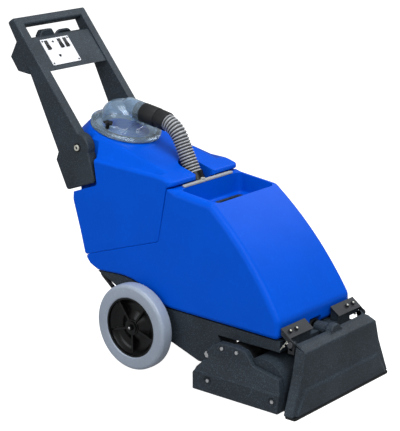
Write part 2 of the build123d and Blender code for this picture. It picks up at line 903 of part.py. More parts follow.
with BuildPart() as chassis:
    with BuildSketch(Plane.XZ):
        with BuildLine():
            belly_line(chassis_sill_gap)
            Polyline(
                lowered(sill_front, chassis_sill_gap),
                (nose_x, nose_z),
                (nose_x, nose_low_z),
                chassis_step,
                chassis_ear_high,
                chassis_ear_low,
                chassis_toe,
                chassis_heel,
                chassis_belly,
                chassis_axle_low,
                chassis_tail,
                lowered(belly_rear, chassis_sill_gap),
            )
        make_face()
    extrude(amount=chassis_half, both=True)
    with BuildSketch(Plane.XZ):
        with BuildLine():
            Polyline(
                sill_rear,
                sill_front,
                lowered(sill_front, deck_wall),
                lowered(sill_rear, deck_wall),
                close=True,
            )
        make_face()
    extrude(amount=deck_pad_half, both=True)
    with BuildSketch(Plane.XZ):
        with BuildLine():
            Polyline(
                (cavity_rear_x, 0), (cavity_rear_x, belly_arch[1] - deck_drop), lowered(belly_arch, deck_drop)
            )
            TangentArc(lowered(belly_arch, deck_drop), lowered(belly_low, deck_drop), tangent=(1, 0))
            Polyline(
                lowered(belly_low, deck_drop),
                lowered(sill_rear, deck_drop),
                (nose_back_x, sill_front[1] - deck_drop),
                (nose_back_x, 0),
                (cavity_rear_x, 0),
            )
        make_face()
    extrude(amount=chassis_half - skirt_wall, both=True, mode=Mode.SUBTRACT)
    for name, way in sides:
        with BuildSketch(side_plane(way * pedestal_in_y)):
            with BuildLine():
                Polyline(
                    (bracket_under_rear[0], nose_low_z),
                    bracket_under_rear,
                    pedestal_front,
                    (nose_x, nose_low_z),
                    close=True,
                )
            make_face()
        extrude(amount=-way * (chassis_half - pedestal_in_y))
        slab_rear = polar(bracket_under_rear, bracket_angle - 90, pedestal_slab_t)
        slab_slope = tan(radians(bracket_angle))
        with BuildSketch(side_plane(way * pedestal_foot_y)):
            with BuildLine():
                Polyline(
                    (pedestal_back_x, nose_low_z - cut_margin),
                    (pedestal_back_x, slab_rear[1] + slab_slope * (pedestal_back_x - slab_rear[0])),
                    (nose_x + overlap, slab_rear[1] + slab_slope * (nose_x + overlap - slab_rear[0])),
                    (nose_x + overlap, nose_low_z - cut_margin),
                    close=True,
                )
            make_face()
        extrude(amount=-way * (chassis_half - pedestal_foot_y), mode=Mode.SUBTRACT)
        with BuildSketch(Plane.YZ.offset(bulkhead_x)):
            with BuildLine():
                Polyline(
                    (way * bulkhead_in_y, bulkhead_low_z),
                    (way * (chassis_half - skirt_wall / 2), bulkhead_low_z),
                    (way * (chassis_half - skirt_wall / 2), sill_front[1] - chassis_sill_gap - deck_wall / 2),
                    (way * bulkhead_in_y, sill_front[1] - chassis_sill_gap - deck_wall / 2),
                    close=True,
                )
            make_face()
        extrude(amount=bulkhead_t)
        with BuildSketch(side_plane(way * axle_boss_in_y)):
            with Locations((axle_x, axle_z)):
                Circle(axle_boss_d / 2)
        extrude(amount=-way * (axle_boss_out_y - axle_boss_in_y))
        with BuildSketch(side_plane(way * head_pin_in_y)):
            with Locations(head_pivot):
                Circle(head_pin_d / 2 + running_fit)
        extrude(amount=-way * head_pin_in_y, mode=Mode.SUBTRACT)
    with BuildSketch(Plane.XY.offset(vac_motor_top_z)):
        with Locations((vac_motor_x, suction_y)):
            Circle(vac_pad_d / 2)
    extrude(amount=pad_top_z - vac_motor_top_z)
    with BuildSketch(Plane.XY.offset(pump_top_z)):
        with Locations((pump_x, feed_hose_y)):
            Rectangle(pump_pad_l, pump_pad_w)
    extrude(amount=pad_top_z - pump_top_z)
    with BuildSketch(side_plane(0)):
        with Locations((axle_x, axle_z)):
            Circle(axle_d / 2)
    extrude(amount=chassis_half * 2, both=True, mode=Mode.SUBTRACT)
    with BuildSketch(Plane.XY):
        with Locations((riser_x, 0)):
            Circle(riser_d / 2)
        with Locations((suction_x, suction_y)):
            Circle(suction_d / 2)
    extrude(amount=spine_rear_z, mode=Mode.SUBTRACT)
    with BuildSketch(Plane.XY):
        with Locations((nose_x, 0)):
            Rectangle(2 * (nose_x - shoe_slot_rear_x), 2 * shoe_slot_half)
    extrude(amount=spine_rear_z, mode=Mode.SUBTRACT)
    bolt_foot = toward(bracket_under_rear, bracket_under_front, bracket_bolt_from_rear)
    bolt_plane = Plane(
        origin=(bolt_foot[0], 0, bolt_foot[1]),
        x_dir=(0, 1, 0),
        z_dir=(cos(radians(bracket_angle + 90)), 0, sin(radians(bracket_angle + 90))),
    )
    with BuildSketch(bolt_plane):
        for name, way in sides:
            with Locations(*[(way * y, 0) for y in bracket_bolt_ys]):
                Circle(bracket_bolt_shank_d / 2)
    extrude(amount=-bracket_bolt_shank_l, mode=Mode.SUBTRACT)
save(chassis, "chassis")

# Axle and wheels
axle_line = Axis((axle_x, 0, axle_z), (0, 1, 0))
with BuildPart() as axle:
    with BuildSketch(side_plane(0)):
        with Locations((axle_x, axle_z)):
            Circle(axle_d / 2)
    extrude(amount=hub_face_y, both=True)
    for name, way in sides:
        with BuildSketch(side_plane(way * hub_face_y)):
            with Locations((axle_x, axle_z)):
                Circle(hub_bolt_shank_d / 2)
        extrude(amount=way * hub_bolt_shank_l, mode=Mode.SUBTRACT)
save(axle, "axle")

for name, way in sides:
    with BuildPart() as tyre:
        with BuildSketch(Plane.YZ.offset(axle_x)) as tyre_section:
            with Locations((way * wheel_mid_y, axle_z + (rim_d + wheel_d) / 4)):
                Rectangle(wheel_w, (wheel_d - rim_d) / 2)
            fillet(tyre_section.vertices().group_by(Axis.Y)[-1], radius=tyre_shoulder_r)
        revolve(axis=axle_line)
    save(tyre, f"tyre_{name}")

    with BuildPart() as rim:
        with BuildSketch(Plane.YZ.offset(axle_x)):
            with Locations((way * wheel_mid_y, axle_z + rim_d / 2 - rim_wall / 2)):
                Rectangle(rim_w, rim_wall)
            with Locations((way * (hub_inner_y + hub_face_y) / 2, axle_z + (hub_d + bush_d) / 4)):
                Rectangle(hub_face_y - hub_inner_y, (hub_d - bush_d) / 2)
            with BuildLine():
                web_face = [(way * (wheel_outer_y - d), axle_z + r) for d, r in rim_web]
                web_back = [(way * (wheel_outer_y - d - rim_web_t), axle_z + r) for d, r in rim_web]
                Polyline(*web_face, *reversed(web_back), close=True)
            make_face()
        revolve(axis=axle_line)
        with BuildSketch(side_plane(way * (wheel_outer_y - rim_rib_face))):
            with Locations((axle_x, axle_z)):
                with PolarLocations((rib_start_r + rib_end_r) / 2, rim_rib_count, start_angle=-90):
                    Rectangle(rib_end_r - rib_start_r, rim_rib_w)
        extrude(amount=way * rim_rib_depth)
    save(rim, f"rim_{name}")

    with BuildPart() as bush:
        with BuildSketch(side_plane(way * hub_inner_y)):
            with Locations((axle_x, axle_z)):
                Circle(bush_d / 2)
                Circle(axle_d / 2 + running_fit, mode=Mode.SUBTRACT)
        extrude(amount=-way * (hub_face_y - hub_inner_y))
    save(bush, f"bush_{name}")

    with BuildPart() as hub_bolt:
        with BuildSketch(side_plane(way * (hub_face_y + touch_gap))):
            with Locations((axle_x, axle_z)):
                Circle(hub_washer_d / 2)
        extrude(amount=-way * hub_washer_t)
        with BuildSketch(side_plane(way * (hub_face_y + hub_washer_t))):
            with Locations((axle_x, axle_z)):
                RegularPolygon(hub_bolt_d / 2, 6)
        extrude(amount=-way * hub_bolt_h)
        with BuildSketch(side_plane(way * (hub_face_y + hub_washer_t))):
            with Locations((axle_x, axle_z)):
                Circle(hub_bolt_shank_d / 2)
        extrude(amount=way * (hub_washer_t + hub_bolt_shank_l))
    save(hub_bolt, f"hub_bolt_{name}")

# Dome lid: clear flanged lid with a dome and an inlet boss
dome_line = Axis((dome_x, 0, 0), (0, 0, 1))
hose_turn = hose_plunge - hose_drop
hose_reach = hose_bend_r * tan(radians(hose_turn / 2))
hose_bend_start = polar(hose_corner, 180 - hose_drop, hose_reach)
hose_bend_end = polar(hose_corner, -hose_plunge, hose_reach)
hose_top = polar(hose_bend_start, 180 - hose_drop, hose_head)
hose_bottom = polar(hose_bend_end, -hose_plunge, hose_tail)
inlet_plane = Plane(
    origin=(hose_bend_start[0], 0, hose_bend_start[1]),
    x_dir=(0, 1, 0),
    z_dir=(-cos(radians(hose_drop)), 0, sin(radians(hose_drop))),
)
inlet_boss_end = inlet_plane.offset(inlet_boss_start + inlet_boss_l).origin

with BuildPart() as dome_void:
    with BuildSketch(Plane.XZ) as dome_inside:
        with BuildLine():
            Polyline(
                (dome_x, dome_base_z - cut_margin),
                (dome_x + dome_base_r - dome_wall, dome_base_z - cut_margin),
                (dome_x + dome_base_r - dome_wall, dome_base_z),
                (dome_x + dome_top_r - dome_wall, dome_top_z - dome_wall),
                (dome_x, dome_top_z - dome_wall),
                close=True,
            )
        make_face()
        inner_corner = (dome_x + dome_top_r - dome_wall, dome_top_z - dome_wall, 0)
        fillet(dome_inside.vertices().sort_by_distance(inner_corner)[:1], radius=dome_round - dome_wall)
    revolve(axis=dome_line)
    with BuildSketch(inlet_plane.offset(inlet_boss_start)):
        Circle(spigot_d / 2)
    extrude(amount=inlet_boss_l)
    with Locations(inlet_boss_end):
        Sphere(spigot_d / 2)

with BuildPart() as dome_lid:
    with BuildSketch(Plane.XZ) as dome_outside:
        with BuildLine():
            Polyline(
                (dome_x, dome_base_z),
                (dome_x + dome_base_r, dome_base_z),
                (dome_x + dome_top_r, dome_top_z),
                (dome_x, dome_top_z),
                close=True,
            )
        make_face()
        outer_corner = (dome_x + dome_top_r, dome_top_z, 0)
        fillet(dome_outside.vertices().sort_by_distance(outer_corner)[:1], radius=dome_round)
    revolve(axis=dome_line)
    with BuildSketch(inlet_plane.offset(inlet_boss_start)):
        Circle(inlet_boss_d / 2)
    extrude(amount=inlet_boss_l)
    with Locations(inlet_boss_end):
        Sphere(inlet_boss_d / 2)
    split(bisect_by=lid_plane.offset(gasket_h), keep=Keep.TOP)
    with BuildSketch(lid_plane.offset(gasket_h)):
        Circle(lid_r)
    extrude(amount=lid_plate_t)
    with BuildSketch(lid_plane.offset(lid_skirt_low)):
        Circle(lid_r)
        Circle(lid_r - lid_skirt_t, mode=Mode.SUBTRACT)
    extrude(amount=lid_top - lid_skirt_low)
    add(dome_void.part, mode=Mode.SUBTRACT)
    with BuildSketch(lid_plane):
        with Locations((0, knob_y), (0, -knob_y)):
            Circle(knob_rod_d / 2 + knob_hole_gap)
    extrude(amount=lid_top, mode=Mode.SUBTRACT)
save(dome_lid, "dome_lid")

with BuildPart() as lid_gasket:
    with BuildSketch(lid_plane):
        Circle(gasket_r)
        Circle(gasket_r - gasket_w, mode=Mode.SUBTRACT)
    extrude(amount=gasket_h)
save(lid_gasket, "lid_gasket")

for name, way in sides:
    with BuildPart() as lid_knob:
        with BuildSketch(lid_plane.offset(lid_top + touch_gap)):
            with Locations((0, way * knob_y)):
                Circle(knob_stem_d / 2)
        extrude(amount=knob_stem_h)
        with BuildSketch(lid_plane.offset(lid_top + touch_gap + knob_stem_h)):
            with Locations((0, way * knob_y)):
                Circle(knob_cap_d / 2)
        extrude(amount=knob_cap_h)
        fillet(lid_knob.edges().sort_by(lid_line)[-1:], radius=knob_edge_r)
        with BuildSketch(lid_plane.offset(knob_rod_low + touch_gap)):
            with Locations((0, way * knob_y)):
                Circle(knob_rod_d / 2)
        extrude(amount=lid_top - knob_rod_low)
    save(lid_knob, f"lid_knob_{name}")

# Inlet spigot, hose cuff and ribbed vacuum hose
with BuildPart() as inlet_spigot:
    with BuildSketch(inlet_plane.offset(hose_head)):
        Circle(spigot_d / 2)
        Circle(spigot_bore / 2, mode=Mode.SUBTRACT)
    extrude(amount=spigot_l)
save(inlet_spigot, "inlet_spigot")

with BuildPart() as hose_cuff:
    with BuildSketch(inlet_plane):
        Circle(cuff_d / 2)
    extrude(amount=cuff_l)
    with BuildSketch(inlet_plane):
        Circle(hose_d / 2)
    extrude(amount=hose_head, mode=Mode.SUBTRACT)
    with BuildSketch(inlet_plane):
        Circle(spigot_d / 2)
    extrude(amount=cuff_l, mode=Mode.SUBTRACT)
save(hose_cuff, "hose_cuff")

hose_bend_l = hose_bend_r * radians(hose_turn)
hose_l = hose_head + hose_bend_l + hose_tail
hose_bend_centre = polar(hose_bend_start, -hose_drop - 90, hose_bend_r)


def hose_plane(distance):
    """Plane across the hose at a distance along it from the cuff."""
    turned = min(max(distance - hose_head, 0), hose_bend_l)
    angle = -hose_drop - degrees(turned / hose_bend_r)
    spot = polar(hose_bend_centre, angle + 90, hose_bend_r)
    spot = polar(spot, angle, min(distance - hose_head, 0) + max(distance - hose_head - hose_bend_l, 0))
    return Plane(
        origin=(spot[0], 0, spot[1]),
        x_dir=(0, 1, 0),
        z_dir=(cos(radians(angle)), 0, sin(radians(angle))),
    )


with BuildPart() as vacuum_hose:
    hose_pitch = hose_l / hose_ribs
    for rib in range(hose_ribs):
        for share, diameter in (
            (0, hose_groove_d),
            (hose_rib_up, hose_d),
            (hose_rib_crest, hose_d),
            (hose_rib_down, hose_groove_d),
        ):
            with BuildSketch(hose_plane((rib + share) * hose_pitch)):
                Circle(diameter / 2)
    with BuildSketch(hose_plane(hose_l)):
        Circle(hose_groove_d / 2)
    loft(ruled=True)
    with BuildLine(Plane.XZ):
        Line(hose_top, hose_bend_start)
        TangentArc(hose_bend_start, hose_bend_end, tangent=polar((0, 0), -hose_drop, 1))
        Line(hose_bend_end, hose_bottom)
    with BuildSketch(hose_plane(0)):
        Circle(hose_bore_d / 2)
    sweep(mode=Mode.SUBTRACT)
save(vacuum_hose, "vacuum_hose")

# Riser pipe that takes the hose down through the tanks, and the shoe hose under them
riser_turn = (riser_x, hose_bottom[1] - tan(radians(hose_plunge)) * (riser_x - hose_bottom[0]))
with BuildPart() as riser_pipe:
    with BuildLine(Plane.XZ):
        FilletPolyline(hose_bottom, riser_turn, (riser_x, riser_low_z), radius=riser_bend_r)
    with BuildSketch(hose_plane(hose_l)):
        Circle(riser_d / 2)
        Circle(riser_bore / 2, mode=Mode.SUBTRACT)
    sweep()
    with BuildSketch(hose_plane(hose_l)):
        Circle(riser_cup_d / 2)
        Circle(riser_bore / 2, mode=Mode.SUBTRACT)
    extrude(amount=tank_wall)
    with BuildSketch(hose_plane(hose_l)):
        Circle(riser_cup_d / 2)
        Circle(hose_d / 2, mode=Mode.SUBTRACT)
    extrude(amount=-riser_cup_l)
save(riser_pipe, "riser_pipe")

with BuildPart() as shoe_hose:
    with BuildLine(Plane.XZ):
        FilletPolyline(
            (riser_x, riser_low_z),
            (riser_x, shoe_hose_z),
            (shoe_hose_climb_x, shoe_hose_z),
            (shoe_hose_crest_x, port_z),
            (shoe_hose_end_x, port_z),
            radius=shoe_hose_bend_r,
        )
    with BuildSketch(Plane.XY.offset(riser_low_z)):
        with Locations((riser_x, 0)):
            Circle(riser_d / 2)
            Circle(riser_bore / 2, mode=Mode.SUBTRACT)
    sweep()
save(shoe_hose, "shoe_hose")

# Suction pipe with a slotted screen, and the vacuum motor it feeds
with BuildPart() as suction_pipe:
    with BuildLine(side_plane(suction_y)):
        FilletPolyline(
            (suction_x, suction_top_z),
            (suction_x, suction_low_z),
            (suction_turn_x, suction_end_z),
            (suction_end_x, suction_end_z),
            radius=suction_bend_r,
        )
    with BuildSketch(Plane.XY.offset(suction_top_z)):
        with Locations((suction_x, suction_y)):
            Circle(suction_d / 2)
            Circle(suction_bore / 2, mode=Mode.SUBTRACT)
    sweep()
    with BuildSketch(Plane.XY.offset(suction_top_z)):
        with Locations((suction_x, suction_y)):
            Circle(screen_d / 2)
    extrude(amount=screen_h)
    with BuildSketch(Plane.XY.offset(suction_top_z)):
        with Locations((suction_x, suction_y)):
            Circle(screen_d / 2 - screen_wall)
    extrude(amount=screen_h - screen_wall, mode=Mode.SUBTRACT)
    with BuildSketch(Plane.XY.offset(suction_top_z)):
        with Locations((suction_x, suction_y)):
            Circle(screen_d / 2)
            Circle(suction_bore / 2, mode=Mode.SUBTRACT)
    extrude(amount=screen_wall)
    with BuildSketch(Plane.XY.offset(suction_top_z + 2 * screen_wall)):
        with Locations((suction_x, suction_y)):
            Rectangle(2 * screen_d, screen_slot_w)
            Rectangle(screen_slot_w, 2 * screen_d)
    extrude(amount=screen_slot_h, mode=Mode.SUBTRACT)
save(suction_pipe, "suction_pipe")

with BuildPart() as vac_motor:
    with BuildSketch(Plane.XY.offset(vac_motor_top_z)):
        with Locations((vac_motor_x, suction_y)):
            Circle(vac_motor_d / 2)
    extrude(amount=-vac_motor_h)
    with BuildSketch(Plane.XY.offset(vac_motor_top_z - vac_motor_h)):
        with Locations((vac_motor_x, suction_y)):
            Circle(vac_motor_cap_d / 2)
    extrude(amount=-vac_motor_cap_h)
    with BuildSketch(Plane.YZ.offset(suction_end_x)):
        with Locations((suction_y, suction_end_z)):
            Circle(horn_d / 2)
    extrude(amount=vac_motor_x - suction_end_x)
    with BuildSketch(Plane.YZ.offset(suction_end_x)):
        with Locations((suction_y, suction_end_z)):
            Circle(suction_bore / 2)
    extrude(amount=vac_motor_x - suction_end_x, mode=Mode.SUBTRACT)
    with BuildSketch(Plane.XY.offset(vac_motor_top_z)):
        with Locations((vac_motor_x, suction_y)):
            Circle(vac_motor_d)
    extrude(amount=vac_motor_h, mode=Mode.SUBTRACT)
save(vac_motor, "vac_motor")

# Solution pump and its feed hose from the tail of the tank
with BuildPart() as pump:
    with BuildSketch(Plane.XY.offset(pump_top_z)):
        with Locations((pump_x, feed_hose_y)):
            RectangleRounded(pump_l, pump_w, pump_corner_r)
    extrude(amount=-pump_h)
    with BuildSketch(Plane.YZ.offset(pump_x + pump_l / 2)):
        with Locations((feed_hose_y, pump_top_z - pump_h / 2)):
            Circle(pump_head_d / 2)
    extrude(amount=pump_head_l)
save(pump, "pump")

with BuildPart() as feed_hose:
    with BuildLine(side_plane(feed_hose_y)):
        FilletPolyline(
            feed_hose_start,
            feed_hose_low,
            feed_hose_turn,
            (feed_hose_level_x, feed_hose_end_z),
            (pump_x - pump_l / 2, feed_hose_end_z),
            radius=feed_hose_bend_r,
        )
    feed_angle = radians(heading(feed_hose_start, feed_hose_low))
    with BuildSketch(
        Plane(
            origin=(feed_hose_start[0], feed_hose_y, feed_hose_start[1]),
            x_dir=(0, 1, 0),
            z_dir=(cos(feed_angle), 0, sin(feed_angle)),
        )
    ):
        Circle(feed_hose_d / 2)
        Circle(feed_hose_bore / 2, mode=Mode.SUBTRACT)
    sweep()
save(feed_hose, "feed_hose")

# Drain spigot and its quarter-turn cap
with BuildPart() as drain_spigot:
    with BuildSketch(drain_plane):
        Circle(drain_flange_d / 2)
    extrude(amount=drain_flange_t)
    with BuildSketch(drain_plane.offset(-tank_wall)):
        Circle(drain_d / 2)
    extrude(amount=tank_wall + drain_l)
    with BuildSketch(drain_plane.offset(-tank_wall)):
        Circle(drain_bore / 2)
    extrude(amount=tank_wall + drain_l, mode=Mode.SUBTRACT)
save(drain_spigot, "drain_spigot")

with BuildPart() as drain_cap:
    with BuildSketch(drain_plane.offset(drain_cap_start)):
        Circle(drain_cap_d / 2)
    extrude(amount=drain_l + drain_cap_end - drain_cap_start)
    with BuildSketch(drain_plane.offset(drain_l + drain_cap_end)):
        RectangleRounded(drain_lug_span, drain_lug_w, drain_lug_r)
    extrude(amount=drain_lug_t, both=True)
    with BuildSketch(drain_plane.offset(drain_cap_start)):
        Circle(drain_d / 2 + running_fit)
    extrude(amount=drain_l + touch_gap - drain_cap_start, mode=Mode.SUBTRACT)
save(drain_cap, "drain_cap")

# Handle: two legs, a grip bar and a console box in one moulding
front_angle = heading(grip_top, leg_brow)
grip_low = toward(grip_top, leg_brow, grip_depth)
console_mid = ((console_top[0] + console_bottom[0]) / 2, (console_top[1] + console_bottom[1]) / 2)
console_angle = heading(console_bottom, console_top)
console_plane = Plane(
    origin=(console_mid[0], 0, console_mid[1]),
    x_dir=(0, 1, 0),
    z_dir=(cos(radians(console_angle - 90)), 0, sin(radians(console_angle - 90))),
)
switch_l = rocker_h + 2 * (rocker_gap + switch_wall)
switch_w = rocker_w + 2 * (rocker_gap + switch_wall)

with BuildPart() as console_form:
    with BuildSketch(Plane.XZ):
        with BuildLine():
            Polyline(
                console_top, console_bottom, arm_elbow, cover_low, cover_high, console_back_top, close=True
            )
        make_face()
    extrude(amount=leg_outer_y, both=True)

with BuildPart() as console_hollow:
    with BuildSketch(Plane.XZ):
        with BuildLine():
            Polyline(
                console_top, console_bottom, arm_elbow, cover_low, cover_high, console_back_top, close=True
            )
        make_face()
        offset(amount=-console_wall, mode=Mode.REPLACE)
    extrude(amount=leg_inner_y - console_wall, both=True)

with BuildPart() as handle:
    for name, way in sides:
        with BuildSketch(side_plane(way * leg_inner_y)) as leg_side:
            with BuildLine():
                Polyline(
                    grip_top, leg_brow, leg_shin, leg_toe, leg_heel, leg_calf, leg_nip, arm_elbow, grip_rear,
                    close=True,
                )
            make_face()
            for corner, corner_r in (
                (grip_top, grip_round), (grip_rear, grip_round), (leg_toe, leg_foot_r), (leg_heel, leg_foot_r),
            ):
                fillet(leg_side.vertices().sort_by_distance((corner[0], corner[1], 0))[:1], radius=corner_r)
            with Locations(pivot):
                Circle(ear_r)
        extrude(amount=-way * (leg_outer_y - leg_inner_y))
    leg_faces = handle.faces().filter_by(lambda face: abs(abs(face.center().Y) - leg_outer_y) < 0.01)
    fillet(leg_faces.edges(), radius=handle_edge_r)
    with BuildSketch(Plane.XZ) as grip_section:
        with BuildLine():
            Polyline(grip_top, grip_low, polar(grip_low, front_angle - 90, grip_t), grip_rear, close=True)
        make_face()
        fillet(grip_section.vertices(), radius=grip_round)
    extrude(amount=leg_inner_y + grip_sink, both=True)
    with BuildSketch(Plane.XZ):
        with BuildLine():
            Polyline(console_top, console_bottom, arm_elbow, console_back_top, close=True)
        make_face()
    extrude(amount=leg_inner_y, both=True)
    add(console_hollow.part, mode=Mode.SUBTRACT)
    with BuildSketch(console_plane):
        with Locations(*[(y, rocker_up) for y in rocker_ys]):
            Rectangle(switch_w, switch_l)
    extrude(amount=-2 * console_wall, mode=Mode.SUBTRACT)
    with BuildSketch(side_plane(0)):
        with Locations(pivot):
            Circle(pivot_shank_d / 2 + running_fit)
    extrude(amount=2 * leg_outer_y, both=True, mode=Mode.SUBTRACT)
save(handle, "handle")

with BuildPart() as console_cover:
    with BuildSketch(Plane.XZ):
        with BuildLine():
            Polyline(arm_elbow, cover_low, cover_high, console_back_top, close=True)
        make_face()
    extrude(amount=leg_outer_y, both=True)
    add(console_hollow.part, mode=Mode.SUBTRACT)
    add(handle.part, mode=Mode.SUBTRACT)
save(console_cover, "console_cover")

# Pivot bolts that carry the handle on the recovery tank
for name, way in sides:
    with BuildPart() as pivot_bolt:
        with BuildSketch(side_plane(way * recess_half)):
            with Locations(pivot):
                Circle(pivot_shank_d / 2)
        extrude(amount=-way * (leg_outer_y + pivot_head_gap - recess_half))
        with BuildSketch(side_plane(way * (leg_outer_y + pivot_head_gap))):
            with Locations(pivot):
                Circle(pivot_head_d / 2)
        extrude(amount=-way * pivot_head_h)
        with BuildSketch(side_plane(way * recess_half)):
            with Locations(pivot):
                Circle(pivot_thread_d / 2)
        extrude(amount=way * pivot_thread_l)
    save(pivot_bolt, f"pivot_bolt_{name}")

# Switch plate, switch bodies behind it and three rockers
with BuildPart() as switch_plate:
    with BuildSketch(console_plane):
        with Locations((plate_y, plate_up)):
            RectangleRounded(plate_w, plate_h, plate_corner_r)
        with Locations(*[(y, rocker_up) for y in rocker_ys]):
            Rectangle(rocker_w + 2 * rocker_gap, rocker_h + 2 * rocker_gap, mode=Mode.SUBTRACT)
    extrude(amount=plate_t)
save(switch_plate, "switch_plate")

with BuildPart() as switch_bodies:
    with BuildSketch(console_plane):
        with Locations(*[(y, rocker_up) for y in rocker_ys]):
            Rectangle(switch_w, switch_l)
    extrude(amount=-switch_depth)
    with BuildSketch(console_plane):
        with Locations(*[(y, rocker_up) for y in rocker_ys]):
            Rectangle(rocker_w + 2 * rocker_gap, rocker_h + 2 * rocker_gap)
    extrude(amount=switch_wall - switch_depth, mode=Mode.SUBTRACT)
    rocker_axis = console_plane.from_local_coords((0, rocker_up, rocker_pivot_z))
    for y in rocker_ys:
        with BuildSketch(side_plane(y)):
            with Locations((rocker_axis.X, rocker_axis.Z)):
                Circle(rocker_pin_d / 2 + running_fit)
        extrude(amount=rocker_w / 2 + rocker_pin_l + touch_gap, both=True, mode=Mode.SUBTRACT)
save(switch_bodies, "switch_bodies")

for number, y in enumerate(rocker_ys, start=1):
    rocker_heading = radians(console_angle + rocker_tilt)
    rocker_plane = Plane(
        origin=(rocker_axis.X, y, rocker_axis.Z),
        x_dir=(cos(rocker_heading), 0, sin(rocker_heading)),
        z_dir=(0, 1, 0),
    )
    with BuildPart() as rocker:
        with BuildSketch(rocker_plane):
            with BuildLine():
                Polyline(
                    (-rocker_h / 2, rocker_end_z - rocker_pivot_z),
                    (0, rocker_mid_z - rocker_pivot_z),
                    (rocker_h / 2, rocker_end_z - rocker_pivot_z),
                    (rocker_h / 2, -rocker_pivot_z),
                    (rocker_foot_half, rocker_foot_z - rocker_pivot_z),
                    (-rocker_foot_half, rocker_foot_z - rocker_pivot_z),
                    (-rocker_h / 2, -rocker_pivot_z),
                    close=True,
                )
            make_face()
        extrude(amount=rocker_w / 2, both=True)
        with BuildSketch(rocker_plane):
            Circle(rocker_pin_d / 2)
        extrude(amount=rocker_w / 2 + rocker_pin_l, both=True)
    save(rocker, f"rocker_{number}")

# Power inlet housing and cord hook behind the console
with BuildPart() as inlet_block:
    with BuildSketch(Plane.XZ):
        with BuildLine():
            Polyline(
                (console_back_top[0], inlet_block_low_z),
                (console_back_top[0], inlet_block_top_z),
                (inlet_block_rear_x, inlet_block_top_z - inlet_block_lean),
                (inlet_block_rear_x, inlet_block_low_z),
                close=True,
            )
        make_face()
    extrude(amount=leg_outer_y, both=True)
    with BuildSketch(Plane.YZ):
        with BuildLine():
            Polyline(
                (inlet_block_ys[0], inlet_block_low_z),
                (inlet_block_ys[0], console_back_top[1]),
                (inlet_block_top_ys[0], inlet_block_top_z),
                (inlet_block_top_ys[1], inlet_block_top_z),
                (inlet_block_ys[1], console_back_top[1]),
                (inlet_block_ys[1], inlet_block_low_z),
                close=True,
            )
        make_face()
    extrude(amount=2 * tank_span, both=True, mode=Mode.INTERSECT)
    add(console_form.part, mode=Mode.SUBTRACT)
save(inlet_block, "inlet_block")

with BuildPart() as cord_hook:
    with BuildLine(Plane.YZ.offset(hook_x)):
        FilletPolyline(
            (hook_ys[0], inlet_block_low_z),
            (hook_ys[0], hook_top_z),
            (hook_ys[1], hook_top_z),
            (hook_ys[1], inlet_block_low_z),
            radius=hook_bend_r,
        )
    with BuildSketch(Plane.XY.offset(inlet_block_low_z)):
        with Locations((hook_x, hook_ys[0])):
            Circle(hook_rod_d / 2)
    sweep()
    add(console_form.part, mode=Mode.SUBTRACT)
save(cord_hook, "cord_hook")

# Shoe brackets: bent plates with slotted legs, bolted on the pedestals
for name, way in sides:
    with BuildPart() as shoe_bracket:
        with BuildSketch(side_plane(way * bracket_in_y)):
            with BuildLine():
                Polyline(bracket_rear, bracket_front, bracket_under_front, bracket_under_rear, close=True)
            make_face()
        extrude(amount=-way * (bracket_out_y - bracket_in_y))
        leg_top = toward(bracket_rear, bracket_front, bracket_leg_from_rear)
        with BuildSketch(side_plane(way * (bracket_out_y - bracket_t))):
            with BuildLine():
                Polyline(
                    (bracket_leg_waist[0], bracket_leg_low_z),
                    bracket_leg_waist,
                    leg_top,
                    bracket_front,
                    (bracket_leg_front_x, bracket_leg_high_z),
                    (bracket_leg_front_x, bracket_leg_low_z),
                    close=True,
                )
            make_face()
            with Locations((shoe_pin[0], shoe_pin[1] - shoe_drop / 2)):
                SlotCenterToCenter(shoe_drop, shoe_pin_d + 2 * shoe_slot_gap, rotation=90, mode=Mode.SUBTRACT)
        extrude(amount=-way * bracket_t)
        with BuildSketch(bolt_plane):
            with Locations(*[(way * y, 0) for y in bracket_bolt_ys]):
                Circle(bracket_bolt_shank_d / 2)
        extrude(amount=2 * bracket_t, mode=Mode.SUBTRACT)
    save(shoe_bracket, f"shoe_bracket_{name}")

with BuildPart() as bracket_bolts:
    bolt_spots = [(way * y, 0) for name, way in sides for y in bracket_bolt_ys]
    with BuildSketch(bolt_plane.offset(-bracket_bolt_shank_l)):
        with Locations(*bolt_spots):
            Circle(bracket_bolt_shank_d / 2)
    extrude(amount=bracket_bolt_shank_l + bracket_t)
    with BuildSketch(bolt_plane.offset(bracket_t)):
        with Locations(*bolt_spots):
            RegularPolygon(bracket_bolt_d / 2, 6)
    extrude(amount=bracket_bolt_h)
save(bracket_bolts, "bracket_bolts")

